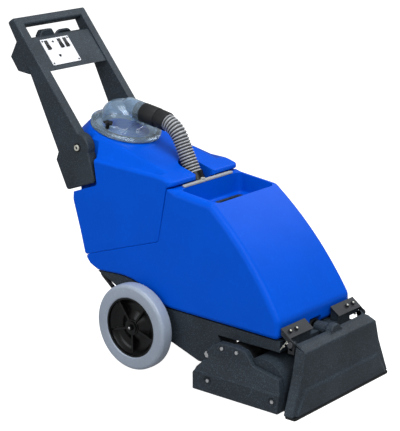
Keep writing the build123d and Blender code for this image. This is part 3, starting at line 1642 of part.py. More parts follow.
# Vacuum shoe: hollow head with two lips, a rear port and two slide pins
with BuildPart() as shoe_hollow:
    with BuildSketch(Plane.XZ):
        with BuildLine():
            Polyline(
                at_height(shoe_brow, (shoe_sill_x, shoe_low_z), shoe_hollow_low_z),
                shoe_brow,
                shoe_crown_front,
                shoe_crown,
                at_height(shoe_crown, (shoe_rear_x, shoe_low_z), shoe_hollow_low_z),
                close=True,
            )
        make_face()
        offset(amount=-shoe_wall, mode=Mode.REPLACE)
    extrude(amount=shoe_half_low, both=True)
    with BuildSketch(Plane.YZ):
        with BuildLine():
            Polyline(
                (-shoe_half_low + shoe_wall, shoe_hollow_low_z),
                (-shoe_half_low + shoe_wall, 0),
                (-shoe_half_mid + shoe_wall, shoe_mid_z),
                (-shoe_half_brow + shoe_wall, shoe_brow[1]),
                (-shoe_half_top + shoe_wall, shoe_crown[1]),
                (shoe_half_top - shoe_wall, shoe_crown[1]),
                (shoe_half_brow - shoe_wall, shoe_brow[1]),
                (shoe_half_mid - shoe_wall, shoe_mid_z),
                (shoe_half_low - shoe_wall, 0),
                (shoe_half_low - shoe_wall, shoe_hollow_low_z),
                close=True,
            )
        make_face()
    extrude(amount=2 * shoe_front_x, both=True, mode=Mode.INTERSECT)

with BuildPart() as shoe:
    with BuildSketch(Plane.XZ):
        with BuildLine():
            Polyline(
                (shoe_sill_x, shoe_low_z),
                shoe_brow,
                shoe_crown_front,
                shoe_crown,
                (shoe_rear_x, shoe_low_z),
                close=True,
            )
        make_face()
    extrude(amount=shoe_half_low, both=True)
    with BuildSketch(Plane.YZ):
        with BuildLine():
            Polyline(
                (-shoe_half_low, 0),
                (-shoe_half_low, shoe_low_z),
                (-shoe_half_mid, shoe_mid_z),
                (-shoe_half_brow, shoe_brow[1]),
                (-shoe_half_top, shoe_crown[1]),
                (shoe_half_top, shoe_crown[1]),
                (shoe_half_brow, shoe_brow[1]),
                (shoe_half_mid, shoe_mid_z),
                (shoe_half_low, shoe_low_z),
                (shoe_half_low, 0),
                close=True,
            )
        make_face()
    extrude(amount=2 * shoe_front_x, both=True, mode=Mode.INTERSECT)
    ledge_depth = shoe_front_x - shoe_ledge_root_x
    ledge_foot_z = shoe_low_z - 2 * ledge_depth
    ledge_flare = (shoe_ledge_foot_half - shoe_ledge_half) / (shoe_ledge_z - shoe_low_z)
    ledge_foot_half = shoe_ledge_half + ledge_flare * (shoe_ledge_z - ledge_foot_z)
    with BuildSketch(Plane.YZ.offset(shoe_ledge_root_x)):
        with BuildLine():
            Polyline(
                (-ledge_foot_half, ledge_foot_z),
                (ledge_foot_half, ledge_foot_z),
                (shoe_ledge_half, shoe_ledge_z),
                (-shoe_ledge_half, shoe_ledge_z),
                close=True,
            )
        make_face()
    extrude(amount=ledge_depth, taper=shoe_ledge_slope)
    with BuildSketch(Plane.XY.offset(shoe_low_z)):
        with Locations((shoe_front_x, 0)):
            Rectangle(2 * cut_margin, 4 * shoe_half_low)
    extrude(amount=-cut_margin, mode=Mode.SUBTRACT)
    with BuildSketch(Plane.YZ.offset(port_boss_rear_x)):
        with Locations((0, port_z)):
            Circle(port_boss_d / 2)
    extrude(amount=port_boss_front_x - port_boss_rear_x)
    with BuildSketch(Plane.YZ.offset(port_rear_x)):
        with Locations((0, port_z)):
            Circle(port_d / 2)
    extrude(amount=port_boss_front_x - port_rear_x)
    for name, way in sides:
        with BuildSketch(side_plane(way * shoe_ear_in_y)):
            with BuildLine():
                Polyline(
                    (shoe_ear_rear_x, shoe_ear_low_z),
                    (shoe_ear_rear_x, shoe_ear_high_z),
                    (shoe_crown[0], shoe_crown[1]),
                    (shoe_ear_front_x, shoe_ear_low_z),
                    close=True,
                )
            make_face()
        extrude(amount=-way * (shoe_ear_out_y - shoe_ear_in_y))
        with BuildSketch(side_plane(way * shoe_ear_in_y)):
            with Locations(shoe_pin):
                Circle(shoe_pin_d / 2)
        extrude(amount=-way * shoe_ear_in_y, mode=Mode.SUBTRACT)
    add(shoe_hollow.part, mode=Mode.SUBTRACT)
    with BuildSketch(Plane.YZ.offset(port_rear_x)):
        with Locations((0, port_z)):
            Circle(port_bore / 2)
    extrude(amount=port_boss_front_x - port_rear_x - shoe_wall, mode=Mode.SUBTRACT)
save(shoe, "shoe")

lip_in = lip_t / 2 + lip_inset
for name, lip_x in (("front", shoe_front_x - lip_in), ("rear", shoe_rear_x + lip_in)):
    with BuildPart() as shoe_lip:
        with BuildSketch(Plane.XY):
            with Locations((lip_x, 0)):
                Rectangle(lip_t, 2 * lip_half)
        extrude(amount=lip_h)
        chamfer(shoe_lip.faces().sort_by(Axis.Z)[0].edges().filter_by(Axis.Y), length=lip_chamfer)
    save(shoe_lip, f"shoe_lip_{name}")

for name, way in sides:
    with BuildPart() as slide_pin:
        with BuildSketch(side_plane(way * shoe_ear_in_y)):
            with Locations(shoe_pin):
                Circle(shoe_pin_d / 2)
        extrude(amount=-way * (shoe_pin_out_y - shoe_ear_in_y))
        with BuildSketch(side_plane(way * shoe_pin_out_y)):
            with Locations(shoe_pin):
                Circle(shoe_pin_head_d / 2)
        extrude(amount=-way * shoe_pin_head_h)
    save(slide_pin, f"slide_pin_{name}")

# Brush head: trough over the brush, belt-side plate and two swing arms
spray_spot = polar((brush_x, brush_z), spray_bar_angle, spray_bar_r)

with BuildPart() as brush_housing:
    with BuildSketch(side_plane(plate_in_y)):
        with Locations((brush_x, brush_z)):
            Circle(trough_r)
        with Locations((brush_x, brush_z / 2)):
            Rectangle(2 * trough_r, brush_z)
        with Locations((brush_x, brush_z)):
            Circle(trough_r - trough_wall, mode=Mode.SUBTRACT)
        with Locations((brush_x, brush_z / 2)):
            Rectangle(2 * (trough_r - trough_wall), brush_z, mode=Mode.SUBTRACT)
        with Locations((brush_x, trough_low_z - trough_r)):
            Rectangle(4 * trough_r, 2 * trough_r, mode=Mode.SUBTRACT)
    extrude(amount=plate_in_y - far_plate_in_y)
    with BuildSketch(side_plane(far_plate_in_y)):
        with Locations((brush_x, brush_z)):
            Circle(trough_r)
        with Locations((brush_x, brush_z / 2)):
            Rectangle(2 * trough_r, brush_z)
        with Locations((brush_x, trough_low_z - trough_r)):
            Rectangle(4 * trough_r, 2 * trough_r, mode=Mode.SUBTRACT)
    extrude(amount=far_plate_in_y - far_plate_y)
    with BuildSketch(side_plane(plate_near_y)):
        with BuildLine():
            Polyline(*cover_outline, close=True)
        make_face()
        with Locations((brush_x, brush_z)):
            Circle(trough_r)
        with Locations((brush_x, cover_low_z - trough_r)):
            Rectangle(4 * trough_r, 2 * trough_r, mode=Mode.SUBTRACT)
        with Locations(head_pivot):
            Circle(head_boss_d / 2)
    extrude(amount=plate_near_y - plate_in_y)
    with BuildSketch(side_plane(plate_in_y)):
        with Locations(head_pivot):
            Circle(head_boss_d / 2)
    extrude(amount=plate_in_y + head_arm_in_y)
    with BuildSketch(side_plane(head_arm_in_y)):
        with BuildLine():
            Polyline(*head_arm_rear, *head_arm_front, close=True)
        make_face()
        with Locations(head_pivot):
            Circle(head_boss_d / 2)
    extrude(amount=head_arm_in_y - head_arm_out_y)
    with BuildSketch(side_plane(0)):
        with Locations(head_pivot):
            Circle(head_pin_d / 2)
    extrude(amount=far_plate_y * 2, both=True, mode=Mode.SUBTRACT)
    with BuildSketch(side_plane(0)):
        with Locations((brush_x, brush_z)):
            Circle(brush_shaft_d / 2 + running_fit)
    extrude(amount=far_plate_y * 2, both=True, mode=Mode.SUBTRACT)
    with BuildSketch(side_plane(plate_near_y)):
        with Locations((motor_x, motor_z)):
            Circle(motor_shaft_d)
    extrude(amount=plate_near_y - plate_in_y, mode=Mode.SUBTRACT)
    jet_angle = radians(spray_bar_angle)
    for y in jet_ys:
        jet_plane = Plane(
            origin=(spray_spot[0], y, spray_spot[1]),
            x_dir=(0, 1, 0),
            z_dir=(-cos(jet_angle), 0, -sin(jet_angle)),
        )
        with BuildSketch(jet_plane):
            Circle(jet_d / 2)
        extrude(amount=spray_bar_r - jet_reach, mode=Mode.SUBTRACT)
save(brush_housing, "brush_housing")

with BuildPart() as belt_cover:
    with BuildSketch(side_plane(cover_outer_y)):
        with BuildLine():
            Polyline(*cover_outline, close=True)
        make_face()
    extrude(amount=cover_outer_y - plate_near_y)
    with BuildSketch(Plane.YZ):
        with BuildLine():
            Polyline(
                (plate_near_y, 0),
                (cover_outer_y, 0),
                (cover_outer_y, cover_bevel_low_z),
                (cover_outer_y + cover_step, cover_bevel_low_z),
                (cover_upper_y, cover_bevel_high_z),
                (cover_upper_y, 2 * cover_high_z),
                (plate_near_y, 2 * cover_high_z),
                close=True,
            )
        make_face()
    extrude(amount=tank_span * 2, both=True, mode=Mode.INTERSECT)
    fillet(belt_cover.faces().sort_by(Axis.Y)[0].edges(), radius=cover_edge_r)
    with BuildSketch(side_plane(plate_near_y)):
        with Locations(head_pivot):
            Circle(cover_pin_room_d / 2)
    extrude(amount=plate_near_y - cover_outer_y, mode=Mode.SUBTRACT)
    with BuildSketch(side_plane(cover_outer_y)):
        with Locations(*cover_bolt_spots):
            Circle(cover_bore_d / 2)
    extrude(amount=-cover_bore_depth, mode=Mode.SUBTRACT)

with BuildPart() as belt_room:
    with BuildSketch(side_plane(cover_outer_y)):
        with BuildLine():
            Polyline(*cover_outline, close=True)
        make_face()
        offset(amount=-belt_cover_wall, mode=Mode.REPLACE)
    extrude(amount=cover_outer_y - plate_near_y)
    with BuildSketch(Plane.YZ):
        with BuildLine():
            Polyline(
                (plate_near_y, 0),
                (cover_outer_y + cover_step + belt_cover_wall, 0),
                (cover_outer_y + cover_step + belt_cover_wall, cover_bevel_low_z),
                (cover_upper_y + belt_cover_wall, cover_bevel_high_z),
                (cover_upper_y + belt_cover_wall, 2 * cover_high_z),
                (plate_near_y, 2 * cover_high_z),
                close=True,
            )
        make_face()
    extrude(amount=tank_span * 2, both=True, mode=Mode.INTERSECT)
    with BuildSketch(side_plane(plate_near_y)):
        with Locations(head_pivot):
            Circle(cover_pin_room_d / 2 + belt_cover_wall)
    extrude(amount=plate_near_y - cover_outer_y, mode=Mode.SUBTRACT)

with BuildPart() as belt_guard:
    add(belt_cover.part)
    add(belt_room.part, mode=Mode.SUBTRACT)
save(belt_guard, "belt_cover")

with BuildPart() as cover_bolts:
    with BuildSketch(side_plane(cover_outer_y + cover_bore_depth)):
        with Locations(*cover_bolt_spots):
            RegularPolygon(cover_bolt_d / 2, 6)
    extrude(amount=cover_bolt_h)
    with BuildSketch(side_plane(cover_upper_y)):
        with Locations(*crown_bolt_spots):
            RegularPolygon(cover_bolt_d / 2, 6)
    extrude(amount=cover_bolt_h)
save(cover_bolts, "cover_bolts")

for name, way, seat_y in (("left", 1, head_arm_out_y), ("right", -1, -plate_near_y)):
    with BuildPart() as head_pin:
        with BuildSketch(side_plane(way * head_pin_in_y)):
            with Locations(head_pivot):
                Circle(head_pin_d / 2)
        extrude(amount=-way * (seat_y - head_pin_in_y))
        with BuildSketch(side_plane(way * seat_y)):
            with Locations(head_pivot):
                RegularPolygon(head_pin_head_d / 2, 6)
        extrude(amount=-way * head_pin_head_h)
    save(head_pin, f"head_pin_{name}")

# Brush drive: motor, two pulleys and a belt
with BuildPart() as brush_motor:
    with BuildSketch(side_plane(plate_in_y)):
        with Locations((motor_x, motor_z)):
            Circle(motor_d / 2)
    extrude(amount=-motor_l)
    with BuildSketch(side_plane(plate_in_y + motor_l)):
        with Locations((motor_x, motor_z)):
            Circle(motor_cap_d / 2)
    extrude(amount=-motor_cap_l)
    with BuildSketch(side_plane(plate_in_y)):
        with Locations((motor_x, motor_z)):
            Circle(motor_shaft_d / 2 + running_fit)
    extrude(amount=-motor_shaft_depth - touch_gap, mode=Mode.SUBTRACT)
save(brush_motor, "brush_motor")

with BuildPart() as motor_pulley:
    with BuildSketch(side_plane(belt_y)):
        with Locations((motor_x, motor_z)):
            Circle(motor_pulley_d / 2)
    extrude(amount=pulley_w / 2, both=True)
    with BuildSketch(side_plane(plate_in_y + motor_shaft_depth)):
        with Locations((motor_x, motor_z)):
            Circle(motor_shaft_d / 2)
    extrude(amount=plate_in_y + motor_shaft_depth - belt_y)
save(motor_pulley, "motor_pulley")

with BuildPart() as drive_belt:
    with BuildSketch(side_plane(belt_y)) as belt_outside:
        with Locations((motor_x, motor_z)):
            Circle(motor_pulley_d / 2 + running_fit + belt_t)
        with Locations((brush_x, brush_z)):
            Circle(brush_pulley_d / 2 + running_fit + belt_t)
        make_hull()
    extrude(amount=belt_w / 2, both=True)
    with BuildSketch(side_plane(belt_y)) as belt_inside:
        with Locations((motor_x, motor_z)):
            Circle(motor_pulley_d / 2 + running_fit)
        with Locations((brush_x, brush_z)):
            Circle(brush_pulley_d / 2 + running_fit)
        make_hull()
    extrude(amount=belt_w, both=True, mode=Mode.SUBTRACT)
save(drive_belt, "drive_belt")

# Brush: core with its through shaft and pulley, and a bristle sleeve
with BuildPart() as brush_core:
    with BuildSketch(side_plane(brush_near_y)):
        with Locations((brush_x, brush_z)):
            Circle(brush_core_d / 2)
    extrude(amount=brush_near_y - brush_far_y)
    with BuildSketch(side_plane(brush_shaft_near_y)):
        with Locations((brush_x, brush_z)):
            Circle(brush_shaft_d / 2)
    extrude(amount=brush_shaft_near_y - far_plate_y)
    with BuildSketch(side_plane(belt_y)):
        with Locations((brush_x, brush_z)):
            Circle(brush_pulley_d / 2)
    extrude(amount=pulley_w / 2, both=True)
save(brush_core, "brush_core")

sleeve_r = brush_core_d / 2 + brush_sleeve_t
bristle_root = brush_core_d / 2 + brush_sleeve_t / 2
bristle_planes = []
for row in range(bristle_rows):
    for place in range(bristles_per_row):
        share = (place + 0.5) / bristles_per_row
        angle = radians(360 * row / bristle_rows + bristle_turn * share)
        bristle_planes.append(
            Plane(
                origin=(
                    brush_x + bristle_root * cos(angle),
                    brush_near_y + (brush_far_y - brush_near_y) * share,
                    brush_z + bristle_root * sin(angle),
                ),
                x_dir=(0, 1, 0),
                z_dir=(cos(angle), 0, sin(angle)),
            )
        )

with BuildPart() as brush_bristles:
    with BuildSketch(side_plane(brush_near_y)):
        with Locations((brush_x, brush_z)):
            Circle(sleeve_r)
            Circle(brush_core_d / 2, mode=Mode.SUBTRACT)
    extrude(amount=brush_near_y - brush_far_y)
    with BuildSketch(*bristle_planes):
        RegularPolygon(bristle_w / 2, 3)
    extrude(amount=brush_d / 2 - bristle_root)
save(brush_bristles, "brush_bristles")

# Spray bar with three jets that reach into the trough
with BuildPart() as spray_bar:
    with BuildSketch(side_plane(spray_bar_near_y)):
        with Locations(spray_spot):
            Circle(spray_bar_d / 2)
    extrude(amount=spray_bar_near_y - spray_bar_far_y)
    for y in jet_ys:
        jet_plane = Plane(
            origin=(spray_spot[0], y, spray_spot[1]),
            x_dir=(0, 1, 0),
            z_dir=(-cos(jet_angle), 0, -sin(jet_angle)),
        )
        with BuildSketch(jet_plane):
            Circle(jet_d / 2)
        extrude(amount=spray_bar_r - jet_reach)
save(spray_bar, "spray_bar")
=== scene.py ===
# Looks of a walk-behind carpet cleaner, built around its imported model.
# Sizes are in millimetres, in the model's own frame, and put_mesh turns them into metres.
from math import atan2, cos, pi, radians, sin

import bmesh
import bpy
import numpy as np
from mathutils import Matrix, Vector


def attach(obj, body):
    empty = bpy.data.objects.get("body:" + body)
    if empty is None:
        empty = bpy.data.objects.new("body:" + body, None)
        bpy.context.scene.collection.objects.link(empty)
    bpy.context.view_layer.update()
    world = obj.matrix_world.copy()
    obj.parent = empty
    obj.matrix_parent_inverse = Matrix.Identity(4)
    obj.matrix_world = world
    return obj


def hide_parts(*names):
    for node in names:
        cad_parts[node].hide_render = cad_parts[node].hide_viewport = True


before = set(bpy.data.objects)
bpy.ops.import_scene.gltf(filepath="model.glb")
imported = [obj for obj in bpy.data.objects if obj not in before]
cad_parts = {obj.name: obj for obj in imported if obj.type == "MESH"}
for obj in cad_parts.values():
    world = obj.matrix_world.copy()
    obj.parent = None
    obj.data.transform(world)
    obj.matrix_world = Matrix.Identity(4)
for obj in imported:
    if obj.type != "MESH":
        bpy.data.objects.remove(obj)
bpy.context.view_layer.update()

# Chassis: a black base moulding with deep skirts, which carries the axle, the tanks and the motors.
# It is moulded polyethylene with a stippled skin, and its deck is bolted to what hangs under it.
black_base = (35, 42, 49)
black_fleck = (80, 96, 109)
stipple_depth = 0.0004
weld_reach, merge_reach = 1e-5, 1e-6
edge_angle = radians(40)


def tint(red, green, blue):
    """Linear colour of an everyday 0 to 255 colour."""
    share = np.array([red, green, blue]) / 255
    linear = np.where(share <= 0.04045, share / 12.92, ((share + 0.055) / 1.055) ** 2.4)
    return (*linear.tolist(), 1.0)


def new_group(name, inputs, outputs):
    """Empty shader node group with named sockets, as (group, its input node, its output node)."""
    group = bpy.data.node_groups.new(name, "ShaderNodeTree")
    for socket, kind in inputs:
        group.interface.new_socket(socket, in_out="INPUT", socket_type=f"NodeSocket{kind}")
    for socket, kind in outputs:
        group.interface.new_socket(socket, in_out="OUTPUT", socket_type=f"NodeSocket{kind}")
    return group, group.nodes.new("NodeGroupInput"), group.nodes.new("NodeGroupOutput")


def add_node(tree, kind, values=None, **settings):
    """Shader node of one kind in a node tree, with its settings and its sockets' values."""
    node = tree.nodes.new(f"ShaderNode{kind}")
    for setting, value in settings.items():
        setattr(node, setting, value)
    for socket, value in (values or {}).items():
        node.inputs[socket].default_value = value
    return node


def stippled_skin():
    """Skin of a moulding: a fine noise gives flecks and height, a broad one mottles colour and roughness."""
    group, given, made = new_group(
        "stippled_skin",
        (("Base", "Color"), ("Fleck", "Color"), ("Fineness", "Float"), ("Fleck Share", "Float"),
         ("Mottle", "Float"), ("Roughness", "Float"), ("Rough Spread", "Float")),
        (("Color", "Color"), ("Roughness", "Float"), ("Height", "Float")),
    )
    link = group.links.new
    place = add_node(group, "TexCoord")
    fine = add_node(group, "TexNoise", {"Detail": 3.0, "Roughness": 0.6})
    broad = add_node(group, "TexNoise", {"Scale": 9.0, "Detail": 4.0})
    spots = add_node(group, "MapRange", {"From Min": 0.5, "From Max": 0.72}, interpolation_type="SMOOTHSTEP")
    share = add_node(group, "Math", operation="MULTIPLY")
    flecked = add_node(group, "Mix", data_type="RGBA")
    shade = add_node(group, "MapRange", {"From Min": 0.3, "From Max": 0.7, "To Min": 1.0})
    darker = add_node(group, "Math", {0: 1.0}, operation="SUBTRACT")
    mottled = add_node(group, "VectorMath", operation="SCALE")
    uneven = add_node(group, "Math", operation="MULTIPLY_ADD")
    middle = add_node(group, "Math", {1: 0.5}, operation="SUBTRACT")
    link(place.outputs["Object"], fine.inputs["Vector"])
    link(place.outputs["Object"], broad.inputs["Vector"])
    link(given.outputs["Fineness"], fine.inputs["Scale"])
    link(fine.outputs["Fac"], spots.inputs["Value"])
    link(spots.outputs["Result"], share.inputs[0])
    link(given.outputs["Fleck Share"], share.inputs[1])
    link(share.outputs[0], flecked.inputs["Factor"])
    link(given.outputs["Base"], flecked.inputs["A"])
    link(given.outputs["Fleck"], flecked.inputs["B"])
    link(given.outputs["Mottle"], darker.inputs[1])
    link(darker.outputs[0], shade.inputs["To Max"])
    link(broad.outputs["Fac"], shade.inputs["Value"])
    link(flecked.outputs["Result"], mottled.inputs[0])
    link(shade.outputs["Result"], mottled.inputs["Scale"])
    link(mottled.outputs[0], made.inputs["Color"])
    link(broad.outputs["Fac"], middle.inputs[0])
    link(middle.outputs[0], uneven.inputs[0])
    link(given.outputs["Rough Spread"], uneven.inputs[1])
    link(given.outputs["Roughness"], uneven.inputs[2])
    link(uneven.outputs[0], made.inputs["Roughness"])
    link(fine.outputs["Fac"], made.inputs["Height"])
    return group


skin_group = stippled_skin()


def new_material(name):
    """Material with a Principled shader, as (material, shader)."""
    material = bpy.data.materials.new(name)
    material.use_nodes = True
    return material, material.node_tree.nodes["Principled BSDF"]


def add_skin(material, shader, base, fleck, fineness, fleck_share, mottle, roughness, spread, bump):
    """Places the stippled skin in a material, with its own values."""
    tree, link = material.node_tree, material.node_tree.links.new
    skin = add_node(tree, "Group", node_tree=skin_group)
    values = (tint(*base), tint(*fleck), fineness, fleck_share, mottle, roughness, spread)
    for socket, value in zip(skin.inputs, values):
        socket.default_value = value
    relief = add_node(tree, "Bump", {"Strength": bump, "Distance": stipple_depth})
    link(skin.outputs["Color"], shader.inputs["Base Color"])
    link(skin.outputs["Roughness"], shader.inputs["Roughness"])
    link(skin.outputs["Height"], relief.inputs["Height"])
    link(relief.outputs["Normal"], shader.inputs["Normal"])


def moulded(name, gloss, *skin_values):
    """Moulded plastic or rubber: a Principled shader under the stippled skin. Gloss is its specular level."""
    material, shader = new_material(name)
    shader.inputs["Specular IOR Level"].default_value = gloss
    add_skin(material, shader, *skin_values)
    return material


def dress(material, *nodes, edge=0):
    """Gives CAD nodes a material and, where edge is set, rounds their sharp edges by that much."""
    for node in nodes:
        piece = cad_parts[node]
        piece.data.materials.clear()
        piece.data.materials.append(material)
        if edge:
            weld = piece.modifiers.new("weld", "WELD")
            weld.merge_threshold = weld_reach
            bevel = piece.modifiers.new("edge", "BEVEL")
            bevel.width = edge / 1000
            bevel.segments = 2
            bevel.limit_method = "ANGLE"
            bevel.angle_limit = edge_angle


black_stipple = moulded("black_stipple", 0.24, black_base, black_fleck, 330, 0.55, 0.3, 0.55, 0.2, 0.6)
dress(black_stipple, "chassis", edge=2.5)

# Axle and machinery under the deck: a steel axle, a vacuum motor, a pump and a suction pipe.
# The motors are painted steel cans, screwed to the deck from below.
satin_can = moulded("satin_can", 0.5, (52, 53, 56), (80, 82, 86), 260, 0.3, 0.25, 0.42, 0.15, 0.1)


def brushed_steel():
    """Drawn steel: a noise stretched along X streaks the roughness and the colour of a metal."""
    material, shader = new_material("brushed_steel")
    tree, link = material.node_tree, material.node_tree.links.new
    place = add_node(tree, "TexCoord")
    stretch = add_node(tree, "Mapping", {"Scale": (40, 900, 900)})
    streaks = add_node(tree, "TexNoise", {"Scale": 1.0})
    sheen = add_node(tree, "MapRange", {"To Min": 0.22, "To Max": 0.42})
    tone = add_node(tree, "Mix", data_type="RGBA")
    tone.inputs["A"].default_value = tint(172, 172, 174)
    tone.inputs["B"].default_value = tint(206, 206, 206)
    shader.inputs["Metallic"].default_value = 1.0
    link(place.outputs["Object"], stretch.inputs["Vector"])
    link(stretch.outputs["Vector"], streaks.inputs["Vector"])
    link(streaks.outputs["Fac"], sheen.inputs["Value"])
    link(streaks.outputs["Fac"], tone.inputs["Factor"])
    link(sheen.outputs["Result"], shader.inputs["Roughness"])
    link(tone.outputs["Result"], shader.inputs["Base Color"])
    return material


steel = brushed_steel()
dress(steel, "axle")
dress(satin_can, "vac_motor", "pump")
dress(black_stipple, "suction_pipe")

# Wheels: grey solid rubber tyres on black dished rims, turning on nylon bushes.
# The rims are moulded nylon with a smoother, glossier face than the rest of the black parts.
wheel_x, wheel_z = -26, 125
tyre_r, tyre_seat_r = 125, 87
tyre_out_y, tyre_in_y = 220, 176
tyre_middle_y, tyre_half = (tyre_out_y + tyre_in_y) / 2, (tyre_out_y - tyre_in_y) / 2
bead_h, bead_w = 3, 2
seat_edge_r, bead_edge_r, shoulder_r, tread_r = 1.5, 2, 11, 60
tread_crown = 1.2
tyre_sides, tyre_arc_steps = 128, 8
hub_face_y = 222
tip_shape = ((0, -1), (3.6, -1), (3.6, 0.6), (2.6, 1.4), (0, 1.7))
bolt_sides = 24
both_sides = (("left", 1), ("right", -1))
arc_steps, side_share = 6, 0.49
tyre_grey = moulded("tyre_grey", 0.5, (139, 148, 162), (156, 164, 176), 160, 0.45, 0.14, 0.36, 0.2, 0.1)
rim_black = moulded("rim_black", 0.24, (6, 6, 7), (13, 13, 14), 300, 0.3, 0.2, 0.3, 0.1, 0.06)
nylon = moulded("nylon", 0.4, (214, 211, 200), (228, 226, 218), 200, 0.4, 0.1, 0.5, 0.1, 0.1)


def grid_faces(rows, columns, wrap_rows=False):
    """Quads of a grid of points stored row after row. Each row closes on itself, and where rows wrap, the last
    row is joined to the first."""
    i, j = np.meshgrid(np.arange(rows if wrap_rows else rows - 1), np.arange(columns), indexing="ij")
    below, beside = (i + 1) % rows, (j + 1) % columns
    corners = (i * columns + j, i * columns + beside, below * columns + beside, below * columns + j)
    return np.stack(corners, -1).reshape(-1, 4).tolist()


def put_mesh(name, points, faces, material, crease=35):
    """Object of a closed shell of points in millimetres, smooth but for edges sharper than crease."""
    mesh = bpy.data.meshes.new(name)
    mesh.from_pydata((np.asarray(points, float).reshape(-1, 3) / 1000).tolist(), [], faces)
    shell = bmesh.new()
    shell.from_mesh(mesh)
    bmesh.ops.remove_doubles(shell, verts=shell.verts, dist=merge_reach)
    bmesh.ops.recalc_face_normals(shell, faces=shell.faces)
    shell.to_mesh(mesh)
    shell.free()
    mesh.shade_smooth()
    mesh.set_sharp_from_angle(angle=radians(crease))
    mesh.materials.append(material)
    piece = bpy.data.objects.new(name, mesh)
    bpy.context.scene.collection.objects.link(piece)
    return piece


def fit(piece, body, slot, *nodes):
    """Lets a piece ride on a body and stand for CAD nodes. The slot is not used."""
    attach(piece, body)
    if nodes:
        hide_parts(*nodes)


def lathe(profile, centre, axis, sides):
    """Ring surface: a profile of (radius, height) points turned about an axis through centre, and closed on
    itself unless it starts and ends on the axis."""
    along = np.asarray(axis, float) / np.linalg.norm(axis)
    aside = np.cross(along, (0.0, 1.0, 0.0) if abs(along[1]) < 0.9 else (1.0, 0.0, 0.0))
    aside = aside / np.linalg.norm(aside)
    third = np.cross(along, aside)
    turn = np.linspace(0, 2 * pi, sides, endpoint=False)[None, :, None]
    radius, height = np.asarray(profile, float).T[:, :, None, None]
    points = np.asarray(centre, float) + height * along + radius * (np.cos(turn) * aside + np.sin(turn) * third)
    on_axis = profile[0][0] == 0 and profile[-1][0] == 0
    return points, grid_faces(len(profile), sides, wrap_rows=not on_axis)


def rounded(corners, radii, steps=arc_steps):
    """Closed outline with round corners: each arc turns evenly from one side's direction to the next one's, and
    takes up at most side_share of the shorter of its two sides."""
    corner = np.asarray(corners, float)
    after = np.roll(corner, -1, 0) - corner
    length = np.linalg.norm(after, axis=1)
    out = after / length[:, None]
    into = np.roll(out, 1, 0)
    turn = np.arctan2(into[:, 0] * out[:, 1] - into[:, 1] * out[:, 0], (into * out).sum(1))
    reach = np.minimum(length, np.roll(length, 1)) * side_share
    cut = np.minimum(np.broadcast_to(radii, len(corner)) * np.tan(np.abs(turn) / 2), reach)
    radius = cut / np.tan(np.abs(turn) / 2) * np.sign(turn)
    start = corner - into * cut[:, None]
    left = np.stack([-into[:, 1], into[:, 0]], 1)
    angle = turn[:, None] * np.linspace(0, 1, steps)
    forward = np.sin(angle) * radius[:, None]
    sideways = (1 - np.cos(angle)) * radius[:, None]
    arcs = start[:, None] + forward[..., None] * into[:, None] + sideways[..., None] * left[:, None]
    return arcs.reshape(-1, 2)


tyre_corners = (
    (tyre_seat_r, -tyre_half + bead_w), (tyre_seat_r + bead_h, -tyre_half), (tyre_r - tread_crown, -tyre_half),
    (tyre_r, 0), (tyre_r - tread_crown, tyre_half), (tyre_seat_r + bead_h, tyre_half),
    (tyre_seat_r, tyre_half - bead_w),
)
tyre_round = (seat_edge_r, bead_edge_r, shoulder_r, tread_r, shoulder_r, bead_edge_r, seat_edge_r)
tyre_profile = rounded(tyre_corners, tyre_round, tyre_arc_steps)
for side, way in both_sides:
    tyre_spot = (wheel_x, way * tyre_middle_y, wheel_z)
    tyre = put_mesh(f"tyre_ring_{side}", *lathe(tyre_profile, tyre_spot, (0, 1, 0), tyre_sides), tyre_grey)
    fit(tyre, f"wheel_{side}", "tyre_grey", f"tyre_{side}")
    dress(rim_black, f"rim_{side}", edge=1)
    dress(nylon, f"bush_{side}")
    dress(rim_black, f"hub_bolt_{side}", edge=0.8)
    tip_spot = (wheel_x, way * hub_face_y, wheel_z)
    tip = put_mesh(f"hub_tip_{side}", *lathe(tip_shape, tip_spot, (0, way, 0), bolt_sides), steel)
    fit(tip, "chassis", "steel")

# Hoses under the deck: a thin feed hose from the tank's tail to the pump, and a wide one to the vacuum shoe.
# Both are black rubber, pushed over their spigots, and the wide one is ringed so that it bends without closing.
feed_y = -118
feed_corners = np.array([(-213, 254), (-227, 223), (-160, 170), (30, 152), (90, 152)], float)
feed_bend_r, feed_r, feed_bore_r = 18, 6, 4
shoe_hose_corners = np.array([(46, 240), (46, 133), (270, 133), (400, 178), (453, 178)], float)
shoe_hose_bend_r, shoe_hose_r, shoe_hose_bore_r = 45, 23, 20
shoe_hose_rings, ring_depth, ring_steps = 96, 0.9, 6
feed_steps, feed_sides, shoe_hose_sides = 90, 20, 40
bend_steps = 16
hose_crease = 60
black_rubber = moulded("black_rubber", 0.3, (17, 18, 19), (34, 36, 39), 300, 0.4, 0.3, 0.6, 0.2, 0.25)


def bent_line(corners, bend_r, count):
    """Line in the side view with round bends: the arcs at its inner corners and its two ends, which are then
    read off at even steps of its length."""
    arcs = rounded(corners, bend_r, bend_steps).reshape(len(corners), bend_steps, 2)[1:-1]
    line = np.concatenate([corners[:1], arcs.reshape(-1, 2), corners[-1:]])
    run = np.concatenate([[0], np.cumsum(np.linalg.norm(np.diff(line, axis=0), axis=1))])
    along = np.linspace(0, run[-1], count)
    return np.stack([np.interp(along, run, line[:, 0]), np.interp(along, run, line[:, 1])], 1)


